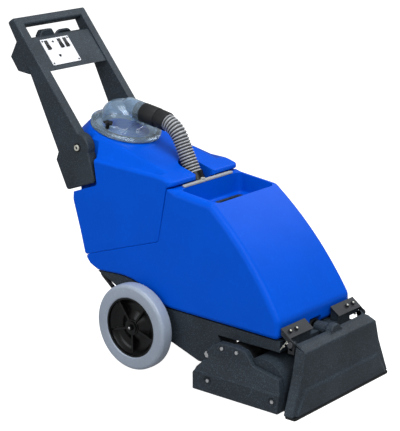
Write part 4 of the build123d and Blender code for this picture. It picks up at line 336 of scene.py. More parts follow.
def pipe(line, y, outer, bore, sides):
    """Tube round a line in the side view: rings square to the line at the outer radius, which may change on the
    way, and back again at the bore."""
    ahead = np.gradient(line, axis=0)
    ahead /= np.linalg.norm(ahead, axis=1, keepdims=True)
    across = np.stack([-ahead[:, 1], np.zeros(len(line)), ahead[:, 0]], 1)
    around = np.linspace(0, 2 * pi, sides, endpoint=False)[None, :, None]
    ring = np.cos(around) * across[:, None] + np.sin(around) * np.array([0.0, 1.0, 0.0])
    middle = np.stack([line[:, 0], np.full(len(line), float(y)), line[:, 1]], 1)[:, None]
    outside = middle + np.broadcast_to(outer, len(line))[:, None, None] * ring
    inside = middle + bore * ring
    points = np.concatenate([outside, inside[::-1]])
    return points, grid_faces(len(points), sides, wrap_rows=True)


feed_shape = pipe(bent_line(feed_corners, feed_bend_r, feed_steps), feed_y, feed_r, feed_bore_r, feed_sides)
feed_tube = put_mesh("feed_tube", *feed_shape, black_rubber, crease=hose_crease)
fit(feed_tube, "chassis", "black_rubber", "feed_hose")
ring_phase = np.linspace(0, 2 * pi * shoe_hose_rings, shoe_hose_rings * ring_steps + 1)
ringed_line = bent_line(shoe_hose_corners, shoe_hose_bend_r, len(ring_phase))
ringed_r = shoe_hose_r - ring_depth * (0.5 - 0.5 * np.cos(ring_phase))
ringed_shape = pipe(ringed_line, 0, ringed_r, shoe_hose_bore_r, shoe_hose_sides)
shoe_tube = put_mesh("shoe_tube", *ringed_shape, black_rubber, crease=hose_crease)
fit(shoe_tube, "chassis", "black_rubber", "shoe_hose")

# Solution tank: the lower and front blue moulding, one hollow shell with an open fill well in its top.
# It is rotationally moulded polyethylene, so every edge is round and the skin has a faint orange peel.
flank_low_z, flank_low_half = 185, 169
flank_high_z, flank_high_half = 565, 150
cut_crease, lip_angle = 35, 45
block_arc_steps = 4
shell_blue = moulded("shell_blue", 0.05, (0, 73, 187), (2, 80, 195), 90, 0.5, 0.08, 0.38, 0.12, 0.08)


def flank(point):
    """Half width of the tanks at an outline point's height: the flanks lean in as they rise."""
    share = (point[:, 1] - flank_low_z) / (flank_high_z - flank_low_z)
    return flank_low_half + (flank_high_half - flank_low_half) * share


def set_in(outline, distance):
    """Moves each point of an outline towards its inside along the mitre of its two sides."""
    ahead = np.roll(outline, -1, 0) - outline
    ahead /= np.linalg.norm(ahead, axis=1, keepdims=True)
    mean = ahead + np.roll(ahead, 1, 0)
    mean /= np.linalg.norm(mean, axis=1, keepdims=True)
    inward = np.stack([-mean[:, 1], mean[:, 0]], 1)
    stretch = (mean * ahead).sum(1)
    return outline + inward * (distance / stretch)[:, None]


def slab_rings(outline, edge_r, low, high, steps=6, across=()):
    """Rings of an outline from its low face to its high one. At angle t a ring of a round edge is set in by
    r(1 - sin t) and stands r(1 - cos t) inside its face; across gives shares of the way for plain rings."""
    edge = np.broadcast_to(np.asarray(edge_r, float), len(outline))
    rings = []
    for t in np.linspace(0, pi / 2, steps):
        ring = set_in(outline, edge * (1 - sin(t)))
        rings.append(np.column_stack([ring, low(ring) + edge * (1 - cos(t))]))
    foot, head = low(outline) + edge, high(outline) - edge
    for share in across:
        rings.append(np.column_stack([outline, foot + (head - foot) * share]))
    for t in np.linspace(pi / 2, 0, steps):
        ring = set_in(outline, edge * (1 - sin(t)))
        rings.append(np.column_stack([ring, high(ring) - edge * (1 - cos(t))]))
    return np.stack(rings)


def closed_rings(rings):
    """Quads between rings of points, and one flat face over each end."""
    count, around = rings.shape[:2]
    first = list(range(around))
    last = list(range((count - 1) * around, count * around))
    return grid_faces(count, around) + [first, last]


def anticlockwise(outline):
    """The outline, turned round where it runs clockwise, so that its left side is its inside."""
    after = np.roll(outline, -1, 0)
    area = (outline[:, 0] * after[:, 1] - outline[:, 1] * after[:, 0]).sum()
    return outline if area > 0 else outline[::-1]


def side_on(rings):
    """Rings drawn in the side view, placed in the frame: their third number is Y."""
    return rings[..., [0, 2, 1]]


def carve(piece, *cutters, lip=0):
    """Cuts closed shells out of a piece, keeps the result as its mesh and rounds the new edges by lip."""
    for cutter in cutters:
        cut = piece.modifiers.new("cut", "BOOLEAN")
        cut.object = cutter
        cut.solver = "EXACT"
    bpy.context.view_layer.update()
    cut_mesh = bpy.data.meshes.new_from_object(piece.evaluated_get(bpy.context.evaluated_depsgraph_get()))
    piece.modifiers.clear()
    piece.data = cut_mesh
    cut_mesh.shade_smooth()
    cut_mesh.set_sharp_from_angle(angle=radians(cut_crease))
    for cutter in cutters:
        bpy.data.objects.remove(cutter)
    if lip:
        bevel = piece.modifiers.new("lip", "BEVEL")
        bevel.width = lip / 1000
        bevel.segments = 3
        bevel.limit_method = "ANGLE"
        bevel.angle_limit = radians(lip_angle)
    piece.modifiers.new("even_shade", "WEIGHTED_NORMAL").keep_sharp = True


def level(height):
    """Depth function of a face at one height."""
    return lambda ring: np.full(len(ring), float(height))


def plan_block(name, corners, radii, low, high, foot_r, material):
    """Closed block over an outline in the plan view, with a round edge at its foot and head."""
    outline = anticlockwise(rounded(corners, radii))
    rings = slab_rings(outline, foot_r, level(low), level(high), block_arc_steps)
    return put_mesh(name, rings, closed_rings(rings), material)


arch_start, arch_end = (-111, 250), (32, 197)
arch_run, arch_drop = arch_end[0] - arch_start[0], arch_start[1] - arch_end[1]
arch_r = (arch_run ** 2 + arch_drop ** 2) / (2 * arch_drop)
arch_turn = np.linspace(0.12, 0.88, 5) * np.arcsin(arch_run / arch_r)
arch = [(arch_start[0] + arch_r * sin(t), arch_start[1] - arch_r * (1 - cos(t))) for t in arch_turn]
front_knee, brow = np.array([454, 235]), np.array([209, 512])
slope_crown, slope_r = 18, 900
slope_out = np.array([brow[1] - front_knee[1], front_knee[0] - brow[0]]) / np.linalg.norm(brow - front_knee)
slope_share = np.linspace(0, 1, 9)[1:-1, None]
slope_bow = slope_out * slope_crown * 4 * slope_share * (1 - slope_share)
slope = front_knee + (brow - front_knee) * slope_share + slope_bow
solution_corners = np.array([
    (-228, 261), (-197, 247), arch_start, *arch, arch_end, (60, 190.5), (452, 183), front_knee, *slope, brow,
    (86, 526), (53, 528), (29, 373), (-246, 284),
])
solution_round = (8, 16, 60, *[60] * len(arch), 60, 60, 16, 30, *[slope_r] * len(slope), 24, 14, 8, 12, 8)
solution_edge = np.array((5, 6, 8, *[8] * len(arch), 8, 12, 14, 18, *[18] * len(slope), 18, 18, 6, 3, 3), float)
solution_outline = rounded(solution_corners, solution_round)
solution_rings = slab_rings(
    solution_outline, np.repeat(solution_edge, arc_steps), lambda p: -flank(p), flank, across=(0.25, 0.5, 0.75)
)
solution_tank = put_mesh("solution_shell", side_on(solution_rings), closed_rings(solution_rings), shell_blue)
well_corners = ((86, -130), (213, -130), (213, 130), (86, 130))
well_corner_r, well_floor_z, well_foot_r, well_lip_r = 16, 466, 8, 4
hole_corners = ((111, 0), (169, 0), (169, 100), (111, 100))
hole_corner_r, hole_low_z, hole_high_z = 10, 415, 480
tunnel_corners = ((330, -26), (500, -26), (500, 26), (330, 26))
tunnel_corner_r, tunnel_low_z, tunnel_high_z, tunnel_foot_r = 8, 120, 206, 4
channel_x, channel_r, channel_low_z = 46, 27, 430
channel_turn = np.linspace(0, 2 * pi, 24, False)
channel_corners = [(channel_x + channel_r * cos(t), channel_r * sin(t)) for t in channel_turn]
over_tank_z = 620
sharp_r = 0.5
carve(
    solution_tank,
    plan_block("well_cut", well_corners, well_corner_r, well_floor_z, over_tank_z, well_foot_r, shell_blue),
    plan_block("hole_cut", hole_corners, hole_corner_r, hole_low_z, hole_high_z, sharp_r, shell_blue),
    plan_block(
        "tunnel_cut", tunnel_corners, tunnel_corner_r, tunnel_low_z, tunnel_high_z, tunnel_foot_r, shell_blue
    ),
    plan_block("channel_cut", channel_corners, sharp_r, channel_low_z, over_tank_z, sharp_r, shell_blue),
    lip=well_lip_r,
)
fit(solution_tank, "chassis", "blue_plastic", "solution_tank")
dress(black_stipple, "fill_strainer", edge=0.6)

# Recovery tank: the upper blue moulding, with a sloping spine, two front prongs and recesses for the handle.
# It sits on the solution tank along a slanting seam and is held by a steel bar behind the well.
spine_half, ledge_share, climb_share = 107, 0.2, 0.88
spine_rear = (-345, 661)
spine_front = (30, 558.3)
deck_rear, deck_front = (-345, 573), (30, 557.5)
recovery_corners = np.array([
    (-246, 284), (29, 373), (53, 528), (69, 534), (69, 546), deck_front, deck_rear, (-341.5, 566), (-300, 464),
    (-301, 438), (-270, 354),
])
recovery_round = (8, 12, 8, 5.5, 7, 90, 10, 3, 20, 30, 90)
recovery_edge = np.array((3, 3, 3, 5, 6, 10, 10, 8, 8, 8, 6), float)
recovery_outline = rounded(recovery_corners, recovery_round)
crest_shares = (0.008, 0.016, 0.026, 0.04, 0.06, 0.085, 0.105, 0.12, 0.135, 0.15, 0.17, 0.21, 0.3, 0.5)
recovery_rings = slab_rings(
    recovery_outline, np.repeat(recovery_edge, arc_steps), lambda p: -flank(p), flank,
    across=(*crest_shares, *[1 - s for s in reversed(crest_shares[:-1])]),
)


def spine_lift(points):
    """Height that the spine adds to the deck: from a ledge at the flank an S-curve climbs to the crest."""
    x, z, y = np.moveaxis(points, -1, 0)
    along = np.clip((spine_front[0] - x) / (spine_front[0] - spine_rear[0]), 0, 1)
    rise = (spine_rear[1] - deck_rear[1]) * along
    half = flank(points.reshape(-1, 3)[:, :2]).reshape(x.shape)
    share = (half - np.abs(y)) / (half - spine_half)
    climb = np.clip((share - ledge_share) / climb_share, 0, 1)
    return rise * climb ** 2 * (3 - 2 * climb)


deck_front_at, deck_rear_at = 5, 6
on_deck = slice(deck_front_at * arc_steps, (deck_rear_at + 1) * arc_steps)
recovery_rings[:, on_deck, 1] += spine_lift(recovery_rings[:, on_deck])
prong_x, prong_r, prong_most = 69, 20, 0.95
prong_near = np.clip((recovery_rings[..., 0] - (prong_x - prong_r)) / prong_r, 0, 1)
prong_over = np.abs(recovery_rings[..., 2]) - (flank(recovery_outline)[None] - prong_r)
prong_over = np.clip(prong_over, 0, prong_most * prong_r)
recovery_rings[..., 0] -= prong_near * (prong_r - np.sqrt(prong_r ** 2 - prong_over ** 2))
recovery_tank = put_mesh("recovery_shell", side_on(recovery_rings), closed_rings(recovery_rings), shell_blue)
recess_corners = np.array([(-205, 495), (-219, 567), (-242, 690), (-440, 690), (-440, 409)])
recess_outline = anticlockwise(rounded(recess_corners, (8, 60, 4, 4, 4)))
recess_y, outside_y = 118, 240
recess_arc_steps = 2
recesses = []
for side, way in both_sides:
    recess_low, recess_high = sorted((way * recess_y, way * outside_y))
    recess_rings = slab_rings(recess_outline, sharp_r, level(recess_low), level(recess_high), recess_arc_steps)
    recess_faces = closed_rings(recess_rings)
    recesses.append(put_mesh(f"recess_cut_{side}", side_on(recess_rings), recess_faces, shell_blue))
notch_x, notch_r, prong_tip_r = 14, 36, 12
notch_low_z, notch_high_z, notch_out_x = 470, 760, 120
notch_turn = np.linspace(pi / 2, 3 * pi / 2, 13)
tip_turn = np.linspace(0, pi / 2, 5)
tip_arc = [(prong_x - prong_tip_r * (1 - sin(t)), notch_r + prong_tip_r * (1 - cos(t))) for t in tip_turn]
notch_half = notch_r + prong_tip_r
notch_corners = [
    *[(notch_x + notch_r * cos(t), notch_r * sin(t)) for t in notch_turn],
    *[(x, -y) for x, y in tip_arc], (notch_out_x, -notch_half), (notch_out_x, notch_half), *tip_arc[::-1],
]
spine_drop, spine_run = spine_rear[1] - spine_front[1], spine_front[0] - spine_rear[0]
lid_tilt = atan2(spine_drop, spine_run)
lid_up = np.array([sin(lid_tilt), 0, cos(lid_tilt)])
lid_x = -231
lid_centre = np.array([lid_x, 0, spine_rear[1] - spine_drop * (lid_x - spine_rear[0]) / spine_run])
neck_r, neck_low, neck_high = 70, -110, 60
neck_turn = np.linspace(0, 2 * pi, 40, False)
neck_circle = np.stack([np.cos(neck_turn) * lid_up[2], np.sin(neck_turn), -np.cos(neck_turn) * lid_up[0]], 1)
neck_rings = np.stack([lid_centre + lid_up * h + neck_circle * neck_r for h in (neck_low, neck_high)])
neck_cut = put_mesh("neck_cut", neck_rings, closed_rings(neck_rings), shell_blue)
shoulder_shape = ((105, 1), (108, -1.5), (146, -62), (200, -62), (200, 90), (105, 90))
shoulder_sides = 96
shoulder_cut = put_mesh("shoulder_cut", *lathe(shoulder_shape, lid_centre, lid_up, shoulder_sides), shell_blue)
front_corners = ((-236, -260), (60, -260), (60, 260), (-236, 260))
front_low_z, front_high_z, front_corner_r = 400, 900, 1
carve(
    shoulder_cut,
    plan_block("front_half", front_corners, front_corner_r, front_low_z, front_high_z, sharp_r, shell_blue),
)
shoulder_cut.modifiers.clear()
tank_lip_r = 3
carve(
    recovery_tank,
    *recesses,
    shoulder_cut,
    plan_block("notch_cut", notch_corners, sharp_r, notch_low_z, notch_high_z, sharp_r, shell_blue),
    neck_cut,
    lip=tank_lip_r,
)
fit(recovery_tank, "chassis", "blue_plastic", "recovery_tank")
bright_zinc, zinc_shader = new_material("bright_zinc")
add_skin(bright_zinc, zinc_shader, (190, 189, 178), (210, 209, 202), 420, 0.5, 0.12, 0.42, 0.2, 0.1)
zinc_shader.inputs["Metallic"].default_value = 0.45
dress(bright_zinc, "retaining_bar", edge=0.6)
dress(black_stipple, "drain_spigot", "drain_cap", edge=1)

# Vacuum hose: a ribbed silver-grey hose from the lid's inlet down into the riser pipe, with a black cuff.
# It is a wire-wound plastic hose with raised ribs: the crests are painted lighter as a highlight, and the
# grooves between them are painted dark as shade.
hose_r, hose_groove_r, hose_bore_r = 24, 21, 18.5
hose_ribs = 29
hose_drop, hose_plunge = radians(9.4), radians(63)
hose_bend_r = 85
hose_axis = np.array([cos(hose_drop), -sin(hose_drop)])
hose_corner = np.array([-41, 668])
hose_start = hose_corner - hose_bend_r * np.tan((hose_plunge - hose_drop) / 2) * hose_axis
hose_head, hose_tail = 52, 122
hose_sides, hose_rib_steps = 48, 8


def ribbed_hose():
    """Ribbed tube along a straight head, an arc and a straight tail, with the share of a rib at each point. The
    radius swells and sinks with each rib."""
    turn = hose_plunge - hose_drop
    centre = hose_start + hose_bend_r * np.array([-sin(hose_drop), -cos(hose_drop)])
    bend = hose_bend_r * turn
    length = hose_head + bend + hose_tail
    along = np.linspace(0, length, hose_ribs * hose_rib_steps + 1)
    angle = hose_drop + np.clip(along - hose_head, 0, bend) / hose_bend_r
    spot = centre + hose_bend_r * np.stack([np.sin(angle), np.cos(angle)], 1)
    extra = np.minimum(along - hose_head, 0) + np.maximum(along - hose_head - bend, 0)
    spot += extra[:, None] * np.stack([np.cos(angle), -np.sin(angle)], 1)
    crest = np.clip(0.5 - 0.75 * np.cos(2 * pi * hose_ribs * along / length), 0, 1)
    points, faces = pipe(spot, 0, hose_groove_r + (hose_r - hose_groove_r) * crest, hose_bore_r, hose_sides)
    return points, faces, np.repeat(np.concatenate([crest, np.zeros(len(along))]), hose_sides)


def hose_painted_light():
    """Hose grey with a painted highlight on the ribs, over grooves painted dark as shade: the piece's own rib
    attribute, broken up by a noise, mixes the two.
    """
    material, shader = new_material("hose_ribs")
    tree, link = material.node_tree, material.node_tree.links.new
    rib = add_node(tree, "Attribute", attribute_name="rib")
    place = add_node(tree, "TexCoord")
    crest_noise = add_node(tree, "TexNoise", {"Scale": 160.0})
    crest_patches = add_node(tree, "MapRange", {"From Min": 0.25, "From Max": 0.75, "To Min": 0.75})
    tone = add_node(tree, "Math", operation="MULTIPLY")
    colour = add_node(tree, "Mix", data_type="RGBA")
    # Colour A is painted shade for the grooves; colour B is the hose's grey with a painted highlight for the
    # crests.
    colour.inputs["A"].default_value = tint(24, 24, 25)
    colour.inputs["B"].default_value = tint(150, 151, 154)
    gloss = add_node(tree, "MapRange", {"To Min": 0.7, "To Max": 0.38})
    link(place.outputs["Object"], crest_noise.inputs["Vector"])
    link(crest_noise.outputs["Fac"], crest_patches.inputs["Value"])
    link(rib.outputs["Fac"], tone.inputs[0])
    link(crest_patches.outputs["Result"], tone.inputs[1])
    link(tone.outputs[0], colour.inputs["Factor"])
    link(colour.outputs["Result"], shader.inputs["Base Color"])
    link(tone.outputs[0], gloss.inputs["Value"])
    link(gloss.outputs["Result"], shader.inputs["Roughness"])
    return material


hose_points, hose_faces, hose_shade = ribbed_hose()
hose = put_mesh("ribbed_hose", hose_points, hose_faces, hose_painted_light(), crease=hose_crease)
hose.data.attributes.new("rib", "FLOAT", "POINT").data.foreach_set("value", hose_shade.astype(np.float32))
fit(hose, "chassis", "hose_grey", "vacuum_hose")
cuff_shape = np.array([
    (-78, 25.8), (-77, 27.8), (-75, 28.6), (-24, 28.6), (-22.6, 27.8), (-22, 25.9), (-19, 25.9), (-18.4, 27),
    (-17, 27.6), (12, 27.6), (13.4, 26.9), (14, 25.2),
])
cuff_bore_r, cuff_sides = 24.3, 64
cuff_bend = np.maximum(cuff_shape[:, 0], 0) / hose_bend_r
cuff_line = hose_start + np.minimum(cuff_shape[:, :1], 0) * hose_axis
cuff_line += hose_bend_r * np.stack([
    np.sin(hose_drop + cuff_bend) - sin(hose_drop), np.cos(hose_drop + cuff_bend) - cos(hose_drop)
], 1)
collar = put_mesh("hose_collar", *pipe(cuff_line, 0, cuff_shape[:, 1], cuff_bore_r, cuff_sides), black_rubber)
fit(collar, "chassis", "black_plastic", "hose_cuff")
dress(black_rubber, "inlet_spigot", edge=1)
dress(rim_black, "riser_pipe")

# Dome lid: one clear moulding with a flange, a dome and an inlet, over a foam ring on the tank's neck.
# It is clear plastic 3.5 mm thick, pulled down by two black knobs.
clear_plastic, clear_shader = new_material("clear_plastic")
clear_tree = clear_plastic.node_tree
haze_place = add_node(clear_tree, "TexCoord")
haze = add_node(clear_tree, "TexNoise", {"Scale": 14.0})
haze_range = add_node(clear_tree, "MapRange", {"To Min": 0.03, "To Max": 0.14})
clear_tree.links.new(haze_place.outputs["Object"], haze.inputs["Vector"])
clear_tree.links.new(haze.outputs["Fac"], haze_range.inputs["Value"])
clear_tree.links.new(haze_range.outputs["Result"], clear_shader.inputs["Roughness"])
clear_shader.inputs["Base Color"].default_value = tint(198, 223, 245)
clear_shader.inputs["Transmission Weight"].default_value = 0.87
clear_shader.inputs["IOR"].default_value = 1.46
foam_grey = moulded("foam_grey", 0.2, (52, 47, 44), (72, 66, 61), 500, 0.6, 0.2, 0.85, 0.1, 0.6)
facet_crease, flat_angle = 30, 0.5


def remade(node, name, material, edge=0, clamp=False, flat=True):
    """Merged, smooth copy of a CAD node, for a shape that is right but for its loose facets. Where flat is set,
    facets in one plane become one face, and edge rounds the sharp edges by that much."""
    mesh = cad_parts[node].data.copy()
    shell = bmesh.new()
    shell.from_mesh(mesh)
    bmesh.ops.remove_doubles(shell, verts=shell.verts, dist=merge_reach)
    if flat:
        bmesh.ops.dissolve_limit(shell, angle_limit=radians(flat_angle), verts=shell.verts, edges=shell.edges)
    shell.to_mesh(mesh)
    shell.free()
    mesh.name = name
    mesh.shade_smooth()
    mesh.set_sharp_from_angle(angle=radians(facet_crease))
    mesh.materials.clear()
    mesh.materials.append(material)
    piece = bpy.data.objects.new(name, mesh)
    bpy.context.scene.collection.objects.link(piece)
    if edge:
        bevel = piece.modifiers.new("edge", "BEVEL")
        bevel.width = edge / 1000
        bevel.segments = 3
        bevel.limit_method = "ANGLE"
        bevel.angle_limit = edge_angle
        bevel.use_clamp_overlap = clamp
    piece.modifiers.new("even_shade", "WEIGHTED_NORMAL").keep_sharp = True
    return piece


fit(remade("dome_lid", "clear_dome", clear_plastic, flat=False), "chassis", "clear_plastic", "dome_lid")
dress(foam_grey, "lid_gasket")
liner_shape, liner_sides = ((70.5, 0.3), (90, 0.3), (90, 2.2), (70.5, 2.2)), 72
liner_grey = moulded("liner_grey", 0.2, (150, 143, 137), (170, 163, 156), 300, 0.4, 0.15, 0.7, 0.1, 0.2)
liner = put_mesh("neck_liner", *lathe(liner_shape, lid_centre, lid_up, liner_sides), liner_grey)
fit(liner, "chassis", "foam_grey")
knob_y, knob_lobes, knob_r, lobe_r = 83, 5, 11.9, 3.1
knob_sides, stem_scale, head_share = 60, 15, 0.5
knob_shape = np.array([
    (0, -15), (0.23, -15), (0.23, 0), (0.4, 0), (0.4, 13), (0.82, 13.4), (0.97, 14.6), (1, 16.5), (0.97, 19),
    (0.84, 20.6), (0.4, 21), (0, 21),
])
lid_top = 17.1
knob_seat = lid_centre + lid_up * lid_top


def lobed_knob(centre):
    """Knob turned about the lid's axis: its outline swells and sinks with five lobes above a plain stem."""
    along, aside = lid_up, np.array([lid_up[2], 0, -lid_up[0]])
    turn = np.linspace(0, 2 * pi, knob_sides, endpoint=False)
    share, height = knob_shape.T[:, :, None]
    lobes = np.where(share > head_share, lobe_r * np.cos(knob_lobes * turn), 0)
    radius = np.where(share > head_share, share * (knob_r + lobes), share * stem_scale)
    points = np.asarray(centre, float) + height[..., None] * along + radius[..., None] * (
        np.cos(turn)[None, :, None] * aside + np.sin(turn)[None, :, None] * np.array([0.0, 1.0, 0.0])
    )
    return points, grid_faces(len(knob_shape), len(turn))


for side, way in both_sides:
    knob = put_mesh(f"lobed_knob_{side}", *lobed_knob(knob_seat + np.array([0, way * knob_y, 0])), rim_black)
    fit(knob, f"lid_knob_{side}", "black_plastic", f"lid_knob_{side}")

# Handle: one black hollow moulding of two legs, a grip bar and a console, hinged on two bolts.
# Its skin is the same stippled polyethylene as the chassis.
fit(remade("handle", "handle_frame", black_stipple), "handle", "black_plastic", "handle")
pivot_x, pivot_z, pivot_face_y, pivot_sides = -283, 592, 154.3, 40
bolt_shape = (
    (0, -3.4), (3.8, -3.4), (4.2, -0.5), (4.8, 0), (7.6, 0), (8.8, -1), (9, -2.4), (9, -5), (6, -5), (6, -36),
    (4, -36), (4, -52.3), (0, -52.3),
)
# The socket disc is a thin black sheet on the floor of each bolt's socket: painted shade in the recess.
socket_shade_shape = ((0, -3.3), (3.9, -3.3), (3.9, -2.7), (0, -2.7))
washer_shape = ((9.3, -5.2), (13, -5.2), (13, -4.6), (12.3, -4), (9.3, -4))
for side, way in both_sides:
    face = (pivot_x, way * pivot_face_y, pivot_z)
    bolt = put_mesh(f"socket_bolt_{side}", *lathe(bolt_shape, face, (0, way, 0), pivot_sides), bright_zinc)
    fit(bolt, "chassis", "steel", f"pivot_bolt_{side}")
    for name, shape in ((f"socket_shade_{side}", socket_shade_shape), (f"bolt_washer_{side}", washer_shape)):
        seat = put_mesh(name, *lathe(shape, face, (0, way, 0), pivot_sides), rim_black)
        fit(seat, "chassis", "black_plastic")
for node, name in (("console_cover", "console_back"), ("inlet_block", "power_inlet")):
    fit(remade(node, name, black_stipple, edge=4, clamp=True), "handle", "black_plastic", node)
dress(black_stipple, "cord_hook")
web_corners = ((20, 832), (85, 832), (85, 881), (20, 881))
web_rear_x, web_front_x, web_arc_steps = -529.5, -526.5, 2
web_outline = rounded(web_corners, (1, 1, 20, 20))
web_rings = slab_rings(web_outline, sharp_r, level(web_rear_x), level(web_front_x), web_arc_steps)
web = put_mesh("hook_web", web_rings[..., [2, 0, 1]], closed_rings(web_rings), black_stipple)
fit(web, "handle", "black_plastic")

# Switch plate: a bare white plate screwed to the console, with three black rocker switches.
# The plate is smooth sheet plastic, and the rockers are glossy.
white_sheet = moulded("white_sheet", 0.3, (206, 206, 209), (196, 197, 201), 240, 0.3, 0.04, 0.4, 0.1, 0.03)
dress(white_sheet, "switch_plate", edge=0.5)
dress(rim_black, "rocker_1", "rocker_2", "rocker_3", "switch_bodies", edge=0.4)
console_middle = np.array([-450, 0, 836.5])
console_lean, console_rise = 72, 87
console_up = np.array([-console_lean, 0, console_rise]) / np.hypot(console_lean, console_rise)
console_out = np.array([console_rise, 0, console_lean]) / np.hypot(console_lean, console_rise)
plate_top, plate_middle, plate_reach = 2, np.array([-37, 3]), np.array([51.5, 38])


def on_plate(y, up):
    """Point on the switch plate's face, y across it and up along it from the console's middle."""
    return console_middle + np.array([0, y, 0]) + console_up * up + console_out * plate_top


screw_head = ((0, 0), (3, 0), (3, 0.6), (2.4, 1.3), (0.8, 1.6), (0, 1.6))
for number, corner in enumerate(((-1, -1), (1, -1), (1, 1), (-1, 1))):
    spot = on_plate(*(plate_middle + plate_reach * corner))
    screw = put_mesh(f"plate_screw_{number + 1}", *lathe(screw_head, spot, console_out, bolt_sides), satin_can)
    fit(screw, "handle", "steel")
lens_shape = np.array([(0, 0), (1, 0), (1, 0.8), (0.76, 1.6), (0.35, 2.1), (0, 2.2)])
for name, y, up, lens_r in (("lamp_lens", -48.4, 35.5, 3.4), ("reset_button", -49.4, -12.7, 4.6)):
    lens = put_mesh(name, *lathe(lens_shape * (lens_r, 1), on_plate(y, up), console_out, bolt_sides), rim_black)
    fit(lens, "handle", "black_plastic")

# Brush head: a trough over a driven brush, with a belt cover on its right end, floating on two pins.
# The covers are stippled mouldings, and the brush is nylon strands in a plastic core.
trough = remade("brush_housing", "brush_trough", black_stipple, edge=2, clamp=True)
fit(trough, "brush_head", "black_plastic", "brush_housing")
guard = remade("belt_cover", "belt_guard", black_stipple, edge=2.5)
fit(guard, "brush_head", "black_plastic", "belt_cover")
dress(steel, "cover_bolts", "head_pin_left", "head_pin_right", "motor_pulley", edge=0.6)
dress(satin_can, "brush_motor")
pulley_spots = np.array([(422, 61), (312, 98)], float)
pulley_r = np.array([33.05, 22.05])
belt_y, belt_w, belt_t, belt_edge_r, belt_edge_steps = -198.5, 8, 3, 0.6, 3
brush_arc_steps, motor_arc_steps = 40, 32


def belt_loop():
    """Flat belt round two pulleys: its section, round at the corners, is carried round the far arcs of both.
    The straight runs join the arcs where the common tangents touch."""
    apart = pulley_spots[1] - pulley_spots[0]
    heading = atan2(apart[1], apart[0])
    touch = np.arccos((pulley_r[0] - pulley_r[1]) / np.linalg.norm(apart))
    turn = np.concatenate([
        np.linspace(heading + touch, heading + 2 * pi - touch, brush_arc_steps),
        np.linspace(heading - touch, heading + touch, motor_arc_steps),
    ])
    which = np.repeat([0, 1], (brush_arc_steps, motor_arc_steps))
    half = belt_w / 2
    section_corners = ((0, -half), (belt_t, -half), (belt_t, half), (0, half))
    section = rounded(section_corners, belt_edge_r, belt_edge_steps)
    reach = pulley_r[which][:, None] + section[None, :, 0]
    x = pulley_spots[which, 0][:, None] + reach * np.cos(turn)[:, None]
    z = pulley_spots[which, 1][:, None] + reach * np.sin(turn)[:, None]
    y = np.broadcast_to(belt_y + section[:, 1], x.shape)
    return np.stack([x, y, z], -1), grid_faces(len(turn), len(section), wrap_rows=True)


fit(put_mesh("belt_band", *belt_loop(), black_rubber), "brush_head", "black_rubber", "drive_belt")
dress(black_stipple, "spray_bar", "brush_core")
bristle_tip_r, bristle_root_r = 60.3, 32
brush_x, brush_z = 422, 61
brush_near_y, brush_far_y = -180, 202
bristle_rows, tufts_per_row, strands_per_tuft = 10, 64, 6
bristle_turn = radians(40)
strand_w, strand_taper, shortest_share = 0.9, 0.7, 0.985
tuft_spread, root_splay, tip_splay = 2.2, 0.4, 1.6
bristle_seed = 7
bristle_nylon = moulded("bristle_nylon", 0.4, (30, 31, 34), (58, 60, 64), 600, 0.5, 0.3, 0.5, 0.2, 0.1)


def bristles():
    """Strands in tufts along helical rows. Each strand is a thin four-sided rod from the core to the brush's
    round tip, splayed a little from its tuft's middle by seeded draws."""
    draw = np.random.default_rng(bristle_seed)
    counts = (bristle_rows, tufts_per_row, strands_per_tuft)
    row, tuft = np.indices(counts)[:2]
    share = (tuft.ravel() + 0.5) / tufts_per_row
    angle = 2 * pi * row.ravel() / bristle_rows + bristle_turn * share
    y = brush_near_y + (brush_far_y - brush_near_y) * share
    lean = draw.uniform(-1, 1, (2, row.size)) * tuft_spread
    radial = np.stack([np.cos(angle), np.zeros_like(angle), np.sin(angle)], 1)
    tangent = np.stack([-np.sin(angle), np.zeros_like(angle), np.cos(angle)], 1)
    sideways = np.array([0.0, 1.0, 0.0])
    axis = np.stack([np.full(row.size, float(brush_x)), y, np.full(row.size, float(brush_z))], 1)
    reach = draw.uniform(shortest_share, 1.0, row.size) * bristle_tip_r
    splay = tangent * lean[0][:, None] + sideways * lean[1][:, None]
    root = axis + radial * bristle_root_r + splay * root_splay
    tip = axis + radial * reach[:, None] + splay * tip_splay
    corners = np.array([(-1, -1), (1, -1), (1, 1), (-1, 1)]) * strand_w / 2
    rim = corners[:, 0, None] * tangent[:, None] + corners[:, 1, None] * sideways
    points = np.concatenate([root[:, None] + rim, tip[:, None] + rim * strand_taper], axis=1)
    rod = np.array([(0, 1, 5, 4), (1, 2, 6, 5), (2, 3, 7, 6), (3, 0, 4, 7), (3, 2, 1, 0), (4, 5, 6, 7)])
    faces = (rod[None] + 8 * np.arange(row.size)[:, None, None]).reshape(-1, 4)
    return points, faces.tolist()


fit(put_mesh("brush_strands", *bristles(), bristle_nylon), "brush", "bristle", "brush_bristles")

# Vacuum shoe: a wide black moulding that drops on two pins in slotted plates, with a rubber lip at its mouth.
# The plates are bent steel with a black coat, bolted to the chassis nose, with a thin wire by the near pin.
black_coat = moulded("black_coat", 0.25, (31, 33, 36), (56, 58, 62), 500, 0.4, 0.2, 0.5, 0.15, 0.3)
fit(remade("shoe", "vacuum_shoe", black_stipple, edge=3.5), "shoe", "black_plastic", "shoe")
lip_front_x, lip_rear_x, lip_half, lip_t, lip_h, lip_corner_r = 551.5, 516.5, 222, 9, 8, 6
lip_corners = (
    (lip_rear_x, -lip_half), (lip_front_x, -lip_half), (lip_front_x, lip_half), (lip_rear_x, lip_half),
)
lip_outline = anticlockwise(rounded(lip_corners, lip_corner_r))
lip_section = (
    (0, lip_h), (0, 2.5), (0.8, 0.7), (2.5, 0),
    (lip_t - 2.5, 0), (lip_t - 0.8, 0.7), (lip_t, 2.5), (lip_t, lip_h),
)
